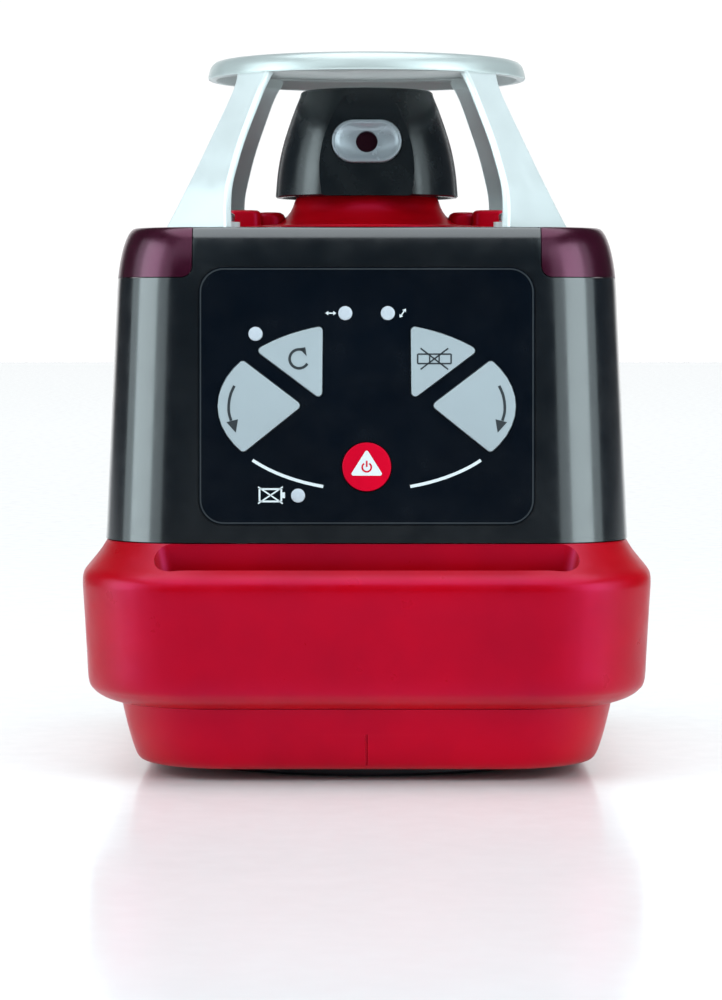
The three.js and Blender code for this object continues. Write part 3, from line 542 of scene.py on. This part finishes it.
BEZEL_SILVER = moulded("bezel_silver", (0.40, 0.44, 0.48), 0.25, 1800, 0.008, vary=0.03, metallic=0.25)
# the pane is tinted almost black as painted shade, standing for the unlit inside of the head seen through the
# aperture
PAINTED_SHADE_PANE = tinted_window("painted_shade_pane", (0.01, 0.001, 0.002), coat=0.0)

# every CAD node starts with its slot's look; those that a finer piece stands for are hidden below
for row in frame["record"]["subparts"]:
    for material_slot in frame["nodes"][row["node"]].material_slots:
        material_slot.material = LOOKS[row["material_slot"]]

# ------------------------------------------------------------------ stage

ROOM = 0.06
BACKDROP = 1.05
BACKDROP_EDGE = (0.80, 0.93)
FLOOR_TONE = 0.89
OVERHEAD = 2.8
KEY = 1.2
STRIP = 5.4
COOL = (0.80, 0.96, 1.0)
CAMERA_LENS = 121.4
CAMERA_EYE = Vector((0, -1.0, 0.128))
CAMERA_AIM = Vector((-0.0017, 0, 0.0743))
SIDE_LIGHTS = (("side_left", Vector((-0.78, -0.27, 0.32))), ("side_right", Vector((0.68, -0.46, 0.32))))


def area_light(name, place, aim, width, height, watts, tint=(1, 1, 1)):
    data = bpy.data.lights.new(name, "AREA")
    data.shape = "RECTANGLE"
    data.size, data.size_y = width, height
    data.energy = watts
    data.color = tint
    obj = bpy.data.objects.new(name, data)
    bpy.context.scene.collection.objects.link(obj)
    obj.location = place
    obj.rotation_euler = (Vector(aim) - Vector(place)).to_track_quat("-Z", "Y").to_euler()
    return obj


def studio_world():
    """White behind the part, dim all round the rest, by direction."""
    world = bpy.data.worlds.new("studio")
    world.use_nodes = True
    nodes, links = world.node_tree.nodes, world.node_tree.links
    place = nodes.new("ShaderNodeTexCoord")
    split = nodes.new("ShaderNodeSeparateXYZ")
    links.new(place.outputs["Generated"], split.inputs["Vector"])
    glow = spread(nodes, links, split.outputs["Y"], 0, 1, BACKDROP_EDGE[0], BACKDROP_EDGE[1])
    links.new(tinted(nodes, links, glow, (ROOM, ROOM, ROOM * 1.08), (BACKDROP, BACKDROP, BACKDROP)),
              nodes["Background"].inputs["Color"])
    bpy.context.scene.world = world


def build_stage():
    scene = bpy.context.scene
    scene.view_settings.view_transform = "Standard"
    studio_world()
    floor = prism("floor", rounded_rect(9000, 9000, 4000, 24), -4, 0)
    floor_look = moulded("floor_white", (FLOOR_TONE, FLOOR_TONE, FLOOR_TONE), 0.16, 300, 0.002, vary=0.01,
                         rough_vary=0.02, specular=0.45)
    floor.data.materials.append(floor_look)
    overhead = bpy.data.lights.new("overhead", "SUN")
    overhead.energy = OVERHEAD
    overhead.angle = math.radians(70)
    overhead.color = (0.88, 0.96, 1.0)
    top = bpy.data.objects.new("overhead", overhead)
    scene.collection.objects.link(top)
    top.rotation_euler = (math.radians(8), 0, 0)
    aim = (0, 0, 0.09)
    area_light("key_left", (-0.55, -1.15, 0.95), aim, 0.7, 0.5, KEY, COOL)
    area_light("key_right", (0.55, -1.15, 0.95), aim, 0.7, 0.5, KEY, COOL)
    # a narrow bright softbox over a wide dim one on each side, so that their glints fade out
    for name, place in SIDE_LIGHTS:
        area_light(name, place, (0, 0, 0.15), 0.45, 0.62, STRIP * 0.5, COOL)
        area_light(name + "_wide", place * 1.03, (0, 0, 0.15), 1.0, 0.66, STRIP * 0.5, COOL)
    camera = bpy.data.cameras.new("camera")
    camera.lens = CAMERA_LENS
    camera.sensor_width = 36
    view = bpy.data.objects.new("camera", camera)
    scene.collection.objects.link(view)
    view.location = CAMERA_EYE
    view.rotation_euler = (CAMERA_AIM - CAMERA_EYE).to_track_quat("-Z", "Y").to_euler()
    scene.camera = view


build_stage()

# ------------------------------------------------------------------ base and bumper


def base_plate():
    plate = lathe("plate", [
        (0, 0), (24, 0), (24.5, 0.5), (27.5, 0.5), (28, 0), (PLATE_R - 5, 0), (PLATE_R - 0.8, 0.3),
        (PLATE_R, 1.1), (PLATE_R, PLATE_H - 0.4), (PLATE_R - 0.4, PLATE_H), (0, PLATE_H)], 160)
    holes = [shift(rod("hole", 3.9, -1, PLATE_H + 1, 32), sx * POST, sy * POST, 0)
             for sx in (-1, 1) for sy in (-1, 1)]
    cut(plate, rod("bush_hole", BUSH_R, -1, PLATE_H + 1, 64), *holes)
    bevel(plate, 0.3, 2, 50)
    piece(plate, "foot_plate", "root", "black_steel", LOOKS["black_steel"], "base_plate")


def front_strip(name, half, inset):
    """A narrow upright bar along the base's sloping front, sunk into it by an inset."""
    sections = []
    for z, face in ((4.6, 72.4), (6.5, 73.4), (13.5, 75.4)):
        outline = rounded_rect(half, 1.2, half * 0.9, 4)
        sections.append((z, [(x, y + 1.2 - inset - face) for x, y in outline]))
    return loft(name, sections)


def base_shell():
    curve = spline([(BASE_Z, 62.4), (4.1, 64.2), (6.5, 65.6), (13, 67.5), (20.7, 69.2)], 14)
    depth_more = 7.8
    outer = rounded_loft("base", [(z, x, x + depth_more, 24 + 0.45 * (x - 62.4)) for z, x in curve]
                         + [(20.7, 68.2, 71, 22), (66, 68.2, 71, 22)], 16)
    inner = rounded_loft("cavity", [(6.3, 61.2, 67.4, 20), (20.7, 65.2, 68, 19), (67, 65.2, 68, 19)], 10)
    cut(outer, inner, rod("bush_hole", BUSH_R, 0, 8, 48))
    join(outer, front_strip("rib", 1.1, 0.2))
    cut(outer, front_strip("groove", 0.35, 2.1))
    piece(outer, "base_skin", "root", "red_plastic", LOOKS["red_plastic"], "base_shell")


def bumper():
    x, y = BUMPER_X, BUMPER_Y
    side = spline([(21.0, -9.1, -9.0, 26), (21.6, -7.4, -7.3, 27), (22.6, -5.2, -5.1, 28.3),
                   (24.3, -3.0, -2.9, 29.4), (27.0, -1.5, -1.4, 30), (35, -1.0, -0.9, 30),
                   (45, -0.5, -0.45, 30), (52.5, -0.1, 0, 30), (55, 0, -0.15, 30), (56.8, -0.1, -1.0, 30),
                   (58.3, -0.65, -2.6, 29.7), (60.3, -2.2, -5.6, 28.6), (63.2, -4.5, -9.5, 27),
                   (BUMPER_TOP, -6.3, -13.4, 25.3)], 60)
    block = rounded_loft("bumper", [(z, x + dx, y + dy, r) for z, dx, dy, r in side], 24)
    bore = prism("bore", rounded_rect(68.5, 71.3, 22.3, 12), 15, 70)
    near, far = 73.3, 83.0
    half, middle = (far - near) / 2, (far + near) / 2
    troughs = []
    for side_y in (-1, 1):
        levels = [(45, 54.5, half - 2.4, 1.6), (45.5, 55.7, half - 1.3, 2.7), (46.6, 56.6, half - 0.4, 3.6),
                  (48, 57, half, 4.75), (57, 57.4, half, 4.75), (70, 60, half, 4.75)]
        troughs.append(shift(rounded_loft("trough", levels, 10), 0, side_y * middle, 0))
    cut(block, bore, *troughs)
    bevel(block, 1.1, 4, 42)
    piece(block, "bumper_band", "root", "soft_red", LOOKS["soft_red"], "bumper")


base_plate()
base_shell()
bumper()

# ------------------------------------------------------------------ housing


def housing_levels(inset, z0, z1):
    heights = [z0 + (TOP_ROUND_Z - z0) * i / 10 for i in range(11)]
    levels = [(z, housing_half(z) - inset) for z in heights]
    for i in range(1, 11):
        angle = i / 10 * math.pi / 2
        z = TOP_ROUND_Z + (z1 - TOP_ROUND_Z) * math.sin(angle)
        levels.append((z, housing_half(z) - TOP_INSET * (1 - math.cos(angle)) - inset))
    return [(z, half, half, CORNER_R - 0.6 * (HOUSING_HALF - half - inset) - inset)
            for z, half in levels]


def housing_block():
    return rounded_loft("housing", housing_levels(0, HOUSING_Z, HOUSING_TOP), 24)


def housing_cavity():
    return rounded_loft("cavity", housing_levels(WALL, HOUSING_Z - 1, HOUSING_TOP - WALL), 12)


def window_region(sx, sy, margin):
    """The corner that a window fills, with its two lower inner edges rounded."""
    edge, radius = WINDOW_EDGE - margin, 3.0 + margin
    region = box("region", edge, 90, edge, 90, WINDOW_Z - margin, HOUSING_TOP + 5)
    work = bmesh.new()
    work.from_mesh(region.data)
    base = (WINDOW_Z - margin) * MM
    lower = [e for e in work.edges
             if all(abs(v.co.z - base) < 1e-6 for v in e.verts)
             and (all(abs(v.co.x - edge * MM) < 1e-6 for v in e.verts)
                  or all(abs(v.co.y - edge * MM) < 1e-6 for v in e.verts))]
    bmesh.ops.bevel(work, geom=lower, offset=radius * MM, segments=6, profile=0.5,
                    affect="EDGES", clamp_overlap=True)
    for v in work.verts:
        v.co.x *= sx
        v.co.y *= sy
    if sx * sy < 0:
        bmesh.ops.reverse_faces(work, faces=work.faces)
    work.to_mesh(region.data)
    work.free()
    return region


KEY_X, KEY_Y = 41.0, 23.1


def ellipse_arc(start, end, steps):
    angles = [math.radians(start + (end - start) * i / steps) for i in range(steps + 1)]
    return [(KEY_X * math.cos(a), KEY_Y * math.sin(a)) for a in angles]


def mirrored(outline):
    return [(-x, y) for x, y in reversed(outline)]


def circle(x, y, radius, count=64):
    return [(x + radius * math.cos(2 * math.pi * i / count), y + radius * math.sin(2 * math.pi * i / count))
            for i in range(count)]


UPPER = fillet([(12.3, 1.6)] + ellipse_arc(41.7, 72.8, 7), 1.1)
FAN = fillet([(17.7, 0.2)] + ellipse_arc(-33.9, 33.5, 10), 1.2)
POWER_Y, POWER_R = -16.7, 6.7
KEYS = {"key_upper_left": mirrored(UPPER), "key_upper_right": UPPER,
        "key_turn_left": mirrored(FAN), "key_turn_right": FAN,
        "key_power": circle(0, POWER_Y, POWER_R)}
LAMPS = ((-30.6, 19.9), (-5.9, 25.6), (5.8, 25.6), (-18.9, -24.6))
PANEL_HALF_X = high("keypad_panel").x
PANEL_LOW, PANEL_HIGH = 71.3 - PANEL_MID_Z, 142.3 - PANEL_MID_Z
PANEL_HALF_Y, PANEL_Y = (PANEL_HIGH - PANEL_LOW) / 2, (PANEL_HIGH + PANEL_LOW) / 2
DOOR_PIN_Z = 75.0
DOOR_TOP_Z = 141.2
DOOR_HALF_X = high("battery_door").x
BARREL_R = 2.4


def housing():
    shell = housing_block()
    cut(shell, housing_cavity())
    for sx in (-1, 1):
        for sy in (-1, 1):
            cut(shell, window_region(sx, sy, 0.25))
    recess = prism("recess", rounded_rect(PANEL_HALF_X + 0.2, PANEL_HALF_Y + 0.2, 7.2, 10), -1.0, 5)
    cut(shell, moved(shift(recess, 0, PANEL_Y, 0), FRONT))
    doorway = box("doorway", -DOOR_HALF_X - 0.4, DOOR_HALF_X + 0.4, back_y(DOOR_TOP_Z) - 0.4,
                  back_y(DOOR_PIN_Z) + BARREL_R + 0.4, -6, 5)
    cut(shell, moved(doorway, BACK), rod("top_hole", 33, 148, 160, 96))
    for outline in KEYS.values():
        cut(shell, moved(prism("key_hole", grown(outline, 0.3), -8, 2), FRONT))
    bevel(shell, 0.35, 2, 50)
    piece(shell, "housing_skin", "root", "black_plastic", LOOKS["black_plastic"], "housing_shell")


def corner_windows():
    for i, (sx, sy) in enumerate(CORNERS):
        window = boolean(housing_block(), window_region(sx, sy, 0), "INTERSECT")
        cut(window, housing_cavity())
        bevel(window, 0.4, 3, 50)
        piece(window, f"window_{i + 1}", "root", "burgundy_window", LOOKS["burgundy_window"],
              f"corner_window_{i + 1}")


housing()
corner_windows()

# ------------------------------------------------------------------ keypad


def on_front(obj):
    return moved(obj, FRONT)


def keypad():
    sheet = shift(prism("sheet", rounded_rect(PANEL_HALF_X, PANEL_HALF_Y, 7, 14), -0.7, 0.3), 0, PANEL_Y, 0)
    ridge = shift(prism("ridge", rounded_rect(PANEL_HALF_X - 0.35, PANEL_HALF_Y - 0.35, 6.6, 14), 0.3, 0.4),
                  0, PANEL_Y, 0)
    inside = shift(prism("inside", rounded_rect(PANEL_HALF_X - 0.75, PANEL_HALF_Y - 0.75, 6.2, 14), 0, 2),
                   0, PANEL_Y, 0)
    cut(ridge, inside)
    for outline in KEYS.values():
        cut(sheet, prism("hole", grown(outline, 0.25), -3, 3))
    for x, y in LAMPS:
        cut(sheet, shift(rod("hole", 2.1, -3, 3, 32), x, y, 0))
    bevel(sheet, 0.09, 2, 50)
    piece(on_front(sheet), "keypad_film", "root", "keypad_film", LOOKS["keypad_film"], "keypad_panel")
    piece(on_front(ridge), "keypad_outline", "root", "keypad_film", FILM_EDGE)
    for name, outline in KEYS.items():
        cap = prism("cap", outline, -4.2, 1.0)
        flange = prism("flange", grown(outline, 0.8), -4.2, -3.3)
        join(cap, flange)
        bevel(cap, 0.45, 4, 60)
        slot = "red_key" if name == "key_power" else "grey_key"
        piece(on_front(cap), name + "_cap", name + "_body", slot, LOOKS[slot], name, angle=40)
    for i, (x, y) in enumerate(LAMPS):
        lens = lathe("lens", [(0, -4.8), (2.6, -4.8), (2.6, -3.3), (1.95, -3.3), (1.95, 0.35), (1.85, 0.55),
                              (1.5, 0.72), (0.8, 0.82), (0, 0.85)], 40)
        piece(on_front(shift(lens, x, y, 0)), f"lamp_lens_{i + 1}", "root", "white_lamp",
              LOOKS["white_lamp"], f"lamp_{i + 1}")


def ribbon(points, width):
    """The outline of a band of even width along an open line of points."""
    line = [Vector(p) for p in points]
    left, right = [], []
    for i, p in enumerate(line):
        along = (line[min(i + 1, len(line) - 1)] - line[max(i - 1, 0)]).normalized()
        side = Vector((-along.y, along.x)) * width / 2
        left.append(tuple(p + side))
        right.append(tuple(p - side))
    return right + left[::-1]


def arc(x, y, radius, start, end, steps=24):
    angles = [math.radians(start + (end - start) * i / steps) for i in range(steps + 1)]
    return [(x + radius * math.cos(a), y + radius * math.sin(a)) for a in angles]


def printed(name, shapes, base, body, slot, material, thick=0.05):
    """Ink shapes as one thin relief lying on a face at height base."""
    verts, faces = [], []
    for outline in shapes:
        first, count = len(verts), len(outline)
        for z in (base, base + thick):
            verts += [(x, y, z) for x, y in outline]
        faces.append(tuple(first + i for i in reversed(range(count))))
        faces.append(tuple(first + count + i for i in range(count)))
        for i in range(count):
            j = (i + 1) % count
            faces.append((first + i, first + j, first + count + j, first + count + i))
    obj = make(name, verts, faces)
    return piece(on_front(obj), name, body, slot, material, angle=30)


def frame_lines(x, y, half_x, half_y, width):
    """Four bars round a rectangle."""
    return [
        ribbon([(x - half_x, y - half_y), (x + half_x, y - half_y)], width),
        ribbon([(x - half_x, y + half_y), (x + half_x, y + half_y)], width),
        ribbon([(x - half_x, y - half_y), (x - half_x, y + half_y)], width),
        ribbon([(x + half_x, y - half_y), (x + half_x, y + half_y)], width),
    ]


def cross(x, y, half_x, half_y, width):
    return [ribbon([(x - half_x, y - half_y), (x + half_x, y + half_y)], width),
            ribbon([(x - half_x, y + half_y), (x + half_x, y - half_y)], width)]


def double_arrow(x, y, size, angle):
    """A short shaft with a head at each end, turned by an angle."""
    turn = Matrix.Rotation(math.radians(angle), 2)
    shapes = [ribbon([(-size * 0.6, 0), (size * 0.6, 0)], size * 0.22)]
    for end in (-1, 1):
        shapes.append([(end * size, 0), (end * size * 0.45, size * 0.4), (end * size * 0.45, -size * 0.4)])
    placed = []
    for shape in shapes:
        placed.append([tuple(turn @ Vector(p) + Vector((x, y))) for p in shape])
    return placed


def markings():
    film_top, key_top = 0.3, 1.0
    panel = []
    for side in (-1, 1):
        panel.append(ribbon([(side * px, py) for px, py in ellipse_arc(-40, -73, 20)], 0.85))
    battery_x, battery_y = -26.5, -24.5
    panel += frame_lines(battery_x, battery_y, 3.0, 1.7, 0.5)
    panel.append(ribbon([(battery_x + 3.2, battery_y), (battery_x + 4.0, battery_y)], 1.6))
    panel += cross(battery_x, battery_y, 3.4, 2.3, 0.4)
    panel += double_arrow(-9.9, 25.6, 1.5, 0)
    panel += double_arrow(9.9, 25.6, 1.5, 55)
    printed("panel_marks", panel, film_top, "root", "keypad_film", MARK_WHITE)
    for side, key in ((-1, "key_turn_left"), (1, "key_turn_right")):
        curve = [(side * px, py) for px, py in (
            (36.4, 5.6), (37.4, 3.3), (37.9, 0.8), (37.9, -1.7), (37.3, -4.0))]
        curve = [tuple(p) for p in spline(curve, 16)]
        head = [(side * 36.0, -7.3), (side * 38.6, -4.4), (side * 35.4, -3.6)]
        printed(key + "_arrow", [ribbon(curve, 0.75), head], key_top, key + "_body", "grey_key", MARK_DARK)
    x, y = 18.6, 13.0
    vial = frame_lines(x, y, 4.6, 1.3, 0.42) + cross(x, y, 3.8, 2.9, 0.42)
    vial += [ribbon([(x - 1.3, y - 1.3), (x - 1.3, y + 1.3)], 0.35),
             ribbon([(x + 1.3, y - 1.3), (x + 1.3, y + 1.3)], 0.35)]
    printed("vial_mark", vial, key_top, "key_upper_right_body", "grey_key", MARK_DARK)
    turning = [ribbon(arc(-18.6, 13.0, 2.6, 60, 330), 0.75)]
    turning.append([(-16.9, 16.2), (-18.6, 15.9), (-16.5, 13.7)])
    printed("spin_mark", turning, key_top, "key_upper_left_body", "grey_key", MARK_DARK)
    triangle = fillet([(-4.6, POWER_Y - 2.4), (4.6, POWER_Y - 2.4), (0, POWER_Y + 4.9)], 0.5)
    printed("power_triangle", [triangle], key_top, "key_power_body", "red_key", MARK_WHITE)
    glyph = [ribbon(arc(0, POWER_Y - 0.1, 1.25, 125, 415), 0.45),
             ribbon([(0, POWER_Y), (0, POWER_Y + 1.7)], 0.45)]
    printed("power_glyph", glyph, key_top + 0.05, "key_power_body", "red_key", LOOKS["red_key"])


keypad()
markings()

# ------------------------------------------------------------------ battery door


def battery_door():
    pin_y = back_y(DOOR_PIN_Z)
    plate = box("door", -DOOR_HALF_X, DOOR_HALF_X, back_y(DOOR_TOP_Z), pin_y, -2.7, 0)
    along_pin = Matrix.Translation((0, pin_y, -BARREL_R)) @ Matrix.Rotation(math.pi / 2, 4, "Y")
    barrel = moved(rod("barrel", BARREL_R, -DOOR_HALF_X, DOOR_HALF_X, 48), along_pin)
    pin_hole = moved(rod("pin_hole", 1.06, -60, 60, 24), along_pin)
    lock_y = back_y(LOCK_Z)
    finger = shift(prism("finger", rounded_rect(13, 3, 2.9, 8), -1.2, 2), 0, back_y(120.0), 0)
    join(plate, barrel)
    cut(plate, pin_hole, shift(rod("lock_hole", 3.1, -6, 6, 40), 0, lock_y, 0), finger)
    ribs = [shift(prism("rib", rounded_rect(34, 0.9, 0.85, 6), -1, 0.35), 0, back_y(z), 0)
            for z in (84.0, 88.5, 93.0, 97.5)]
    join(plate, *ribs)
    bevel(plate, 0.35, 3, 40)
    piece(moved(plate, BACK), "rear_door", "door", "black_plastic", LOOKS["black_plastic"], "battery_door")


def battery_lock():
    """Quarter-turn knob with a finger wing and a knurled edge."""
    knob = lathe("knob", [(0, GAP), (7.6, GAP), (8, 0.7), (8, 1.35), (7.6, 1.75), (7.0, 2), (0, 2)], 72)
    wing = rounded_loft("wing", [(1.5, 7, 1.3, 1.2), (3.8, 6.9, 1.2, 1.1), (4.2, 6.5, 0.85, 0.8)], 8)
    knurls = []
    for i in range(24):
        angle = 2 * math.pi * i / 24
        knurls.append(shift(rod("knurl", 0.28, 0, 3, 12), 8.1 * math.cos(angle), 8.1 * math.sin(angle), 0))
    cut(knob, *knurls)
    tongue_half = 6.75
    tongue = rounded_loft("tongue", [(-5.6, tongue_half, 3, 1.0), (-4.2, tongue_half, 3, 1.0)], 6)
    shift(tongue, high("battery_lock").x - tongue_half, 0, 0)
    join(knob, wing, rod("shaft", 3, -4.8, 1, 48), tongue)
    bevel(knob, 0.15, 2, 60)
    moved(shift(knob, 0, back_y(LOCK_Z), 0), BACK)
    piece(knob, "lock_knob", "lock", "black_plastic", LOOKS["black_plastic"], "battery_lock")


battery_door()
battery_lock()

# ------------------------------------------------------------------ top cover, guard and screws


def top_cover():
    z = COVER_Z
    skin = lathe("cover", [
        (15, z), (37.6, z), (38, z + 0.3), (38, z + 0.8), (37.6, z + 1.2), (36.9, z + 1.3), (31, z + 1.3),
        (28.8, z + 1.5), (26.6, z + 2.3), (24.8, z + 3.5), (23.4, z + 4.7), (22.5, z + 5.9), (21.8, z + 7.3),
        (21.3, z + 8.8), (20.8, z + 9.9), (20.1, COVER_TOP), (15.6, COVER_TOP), (15, COVER_TOP - 0.5)], 160)
    for side in (-1, 1):
        block = shift(rounded_loft("block", [
            (z, 4.8, 11.8, 2.4), (z + 0.2, 5, 12, 2.5), (z + 4.9, 5, 12, 2.5), (z + 5.6, 4.7, 11.7, 2.4),
            (z + 6.0, 4.1, 11.1, 2), (z + 6.1, 3.2, 10.2, 1.6)], 8), side * 36, 0, 0)
        lump = shift(rounded_loft("lump", [
            (z + 0.2, 4.6, 9, 4), (z + 4, 4.6, 9, 4), (z + 5.0, 4.1, 8.5, 3.8), (z + 5.5, 3.2, 7.6, 3),
            (z + 5.6, 2.0, 6.4, 1.9)], 8), side * 28.6, 0, 0)
        join(skin, block, lump)
    bevel(skin, 0.3, 2, 60)
    piece(skin, "cover_skin", "root", "red_plastic", LOOKS["red_plastic"], "top_cover")


def guard_leg(quarter):
    # height, half width, distance from the axis and half thickness
    rows = spline([(153.7, 12.5, 66.9, 1.6), (159, 10.4, 65.1, 1.5), (165, 8.6, 62.8, 1.4),
                   (171, 7.5, 59.8, 1.35), (179, 6.5, 55.6, 1.35), (189, 5.8, 49.8, 1.4),
                   (194, 5.7, 47.0, 1.45), (197.5, 6.3, 45.2, 1.5), (199.5, 7.4, 44.4, 1.5),
                   (202, 7.6, 43.2, 1.4)], 40)
    sections = []
    for z, half, distance, thick in rows:
        outline = rounded_rect(thick, half, 0.9, 4)
        sections.append((z, [(x + distance, y) for x, y in outline]))
    leg = loft("leg", sections)
    edge = [tuple(p) for p in spline([(53.2, 0.9), (53.9, 3), (55.6, 4.4), (58, 4.9), (61, 6), (63.2, 8.6),
                                      (66.9, 11)], 24)]
    foot = prism("foot", edge + [(x, -y) for x, y in reversed(edge)], COVER_Z, COVER_Z + FOOT_H)
    hole = shift(rod("hole", 2.3, 150, 160, 32), POST * math.sqrt(2), 0, 0)
    cut(join(leg, foot), hole)
    return moved(leg, Matrix.Rotation((quarter + 0.5) * math.pi / 2, 4, "Z"))


def guard():
    top = DISC_TOP
    dish = lathe("dish", [
        (0, top - 2.2), (41, top - 2.2), (42.1, top - 2.4), (42.9, top - 2.9), (43.5, top - 4.0),
        (44.1, top - 5.1), (44.5, top - 5.4), (46.0, top - 5.4), (46.5, top - 5.2), (46.7, top - 4.8),
        (46.65, top - 4.2), (46.35, top - 2.9), (46.0, top - 1.9), (45.5, top - 1.1), (44.7, top - 0.4),
        (43.6, top - 0.05), (42.6, top), (0, top)], 200)
    join(dish, *[guard_leg(q) for q in range(4)])
    bevel(dish, 0.35, 2, 50)
    piece(dish, "guard_casting", "root", "cast_aluminium", LOOKS["cast_aluminium"], "guard_frame")


def screw(name, profile, socket_z0, socket_z1, x, y, *nodes):
    """Socket head screw standing up along Z."""
    body = lathe(name, profile, 48)
    cut(body, rod("socket", 1.5, socket_z0, socket_z1, 6))
    bevel(body, 0.12, 2, 40)
    piece(shift(body, x, y, 0), name, "root", "steel", LOOKS["steel"], *nodes)


def screws():
    seat = COVER_Z + FOOT_H + GAP
    for i, (sx, sy) in enumerate(CORNERS):
        z0, z1 = low(f"guard_screw_{i + 1}").z, high(f"guard_screw_{i + 1}").z
        screw(f"guard_fixing_{i + 1}", [
            (0, z0), (1.2, z0), (2, z0 + 1), (2, seat), (3.6, seat), (3.6, seat + 1.5), (3.4, seat + 1.9),
            (2.8, z1), (0, z1)], seat + 1, seat + 4, sx * POST, sy * POST, f"guard_screw_{i + 1}")
        z0, z1 = low(f"base_screw_{i + 1}").z, high(f"base_screw_{i + 1}").z
        screw(f"base_fixing_{i + 1}", [
            (0, z0), (2.6, z0), (3.2, z0 + 0.3), (3.4, z0 + 0.7), (3.4, z0 + 2.2), (2, z0 + 2.2),
            (2, z1 - 1), (1.2, z1), (0, z1)], z0 - 1, z0 + 1.3, sx * POST, sy * POST, f"base_screw_{i + 1}")


top_cover()
guard()
screws()

# ------------------------------------------------------------------ rotor head


def facing_front(obj):
    """Turns a piece built upwards round Z so that it points forwards along the beam."""
    return moved(obj, Matrix.Translation((0, 0, BEAM_Z)) @ Matrix.Rotation(math.pi / 2, 4, "X"))


def leaning(obj):
    """Turns a piece of the head's flat front, built upright, back to the flat's lean."""
    hinge = Matrix.Translation((0, FACET_Y, BEAM_Z))
    return moved(obj, hinge @ Matrix.Rotation(-FACET_LEAN, 4, "X") @ hinge.inverted())


def rotor_head():
    side = spline([(HEAD_Z + 1.2, 26.85), (170, 26.4), (174.6, 25.7), (179, 24.7), (183.6, 23.3),
                   (189, 21.4), (193.2, 19.7)], 20)
    outside = [(HEAD_R - 0.4, HEAD_Z), (HEAD_R, HEAD_Z + 0.4)] + [(r, z) for z, r in side]
    outside += [(19.4, 194.3), (18.9, 194.8), (18.1, HEAD_TOP), (0, HEAD_TOP)]
    inside = [(0, 192.6), (17.5, 192.6), (19.4, 188), (22.4, 179.5), (23.9, 174), (24.5, 169), (24.9, HEAD_Z)]
    shell = lathe("head", inside + outside, 128)
    wall = lathe("wall", [(0, HEAD_Z + 0.5)] + outside, 128)
    boolean(wall, leaning(box("slab", -16, 16, -30, FACET_Y + 2.2, HEAD_Z - 10, 188)), "INTERSECT")
    join(shell, wall)
    opening = rounded_rect(BEZEL_HALF_X + 0.25, BEZEL_HALF_Z + 0.25, BEZEL_HALF_Z + 0.2, 16)
    slot = prism("slot", opening, 14, 30)
    cut(shell, leaning(box("face", -30, 30, -40, FACET_Y, 140, 210)), leaning(facing_front(slot)))
    bevel(shell, 0.7, 4, 24)
    piece(shell, "head_dome", "rotor", "black_plastic", HEAD_BLACK, "rotor_head", angle=24)


def stadium_at(angle, half_x, half_z):
    """Point of a stadium's edge in a direction from its centre."""
    x, z = math.cos(angle), math.sin(angle)
    middle = half_x - half_z
    if abs(x) * half_z <= middle * abs(z):
        return half_z * x / abs(z), math.copysign(half_z, z)
    reach = abs(x) * middle + math.sqrt(half_z ** 2 - (middle * z) ** 2)
    return reach * x, reach * z


def window_bezel():
    """Stadium ring whose face dishes in towards the round aperture."""
    half_x, half_z = BEZEL_HALF_X, BEZEL_HALF_Z
    count, aperture = 160, 3.15
    angles = [2 * math.pi * i / count for i in range(count)]

    def edge(inset):
        return [stadium_at(a, half_x - inset, half_z - inset) for a in angles]

    hole = [(aperture * math.cos(a), aperture * math.sin(a)) for a in angles]
    face = [(19.15, edge(0)), (21.55, edge(0)), (21.85, edge(0.15)), (22.02, edge(0.4)), (22.05, edge(0.8)),
            (21.95, edge(1.1)), (21.7, edge(1.35))]
    for k in (0.2, 0.4, 0.6, 0.8, 1.0):
        between = [(a[0] + (b[0] - a[0]) * k, a[1] + (b[1] - a[1]) * k) for a, b in zip(edge(1.35), hole)]
        face.append((21.7 - 1.15 * math.sin(k * math.pi / 2), between))
    face.append((19.15, hole))
    verts = [(x, -depth, z + BEAM_Z) for depth, outline in face for x, z in outline]
    faces = []
    for s in range(len(face)):
        t = (s + 1) % len(face)
        for i in range(count):
            j = (i + 1) % count
            faces.append((s * count + i, s * count + j, t * count + j, t * count + i))
    bezel = leaning(make("bezel", verts, faces))
    piece(bezel, "bezel_ring", "rotor", "cast_aluminium", BEZEL_SILVER, "window_bezel", angle=50)


def window_glass():
    """Round pane with ground edges behind the aperture."""
    pane = lathe("pane", [(0, 17.4), (4.9, 17.4), (5.2, 17.7), (5.2, 18.5), (4.9, 18.8), (0, 18.8)], 64)
    # painted shade: the near-black pane stands for the dark inside of the head behind it
    piece(leaning(facing_front(pane)), "glass_pane", "rotor", "clear_glass", PAINTED_SHADE_PANE, "window_glass")


rotor_head()
window_bezel()
window_glass()
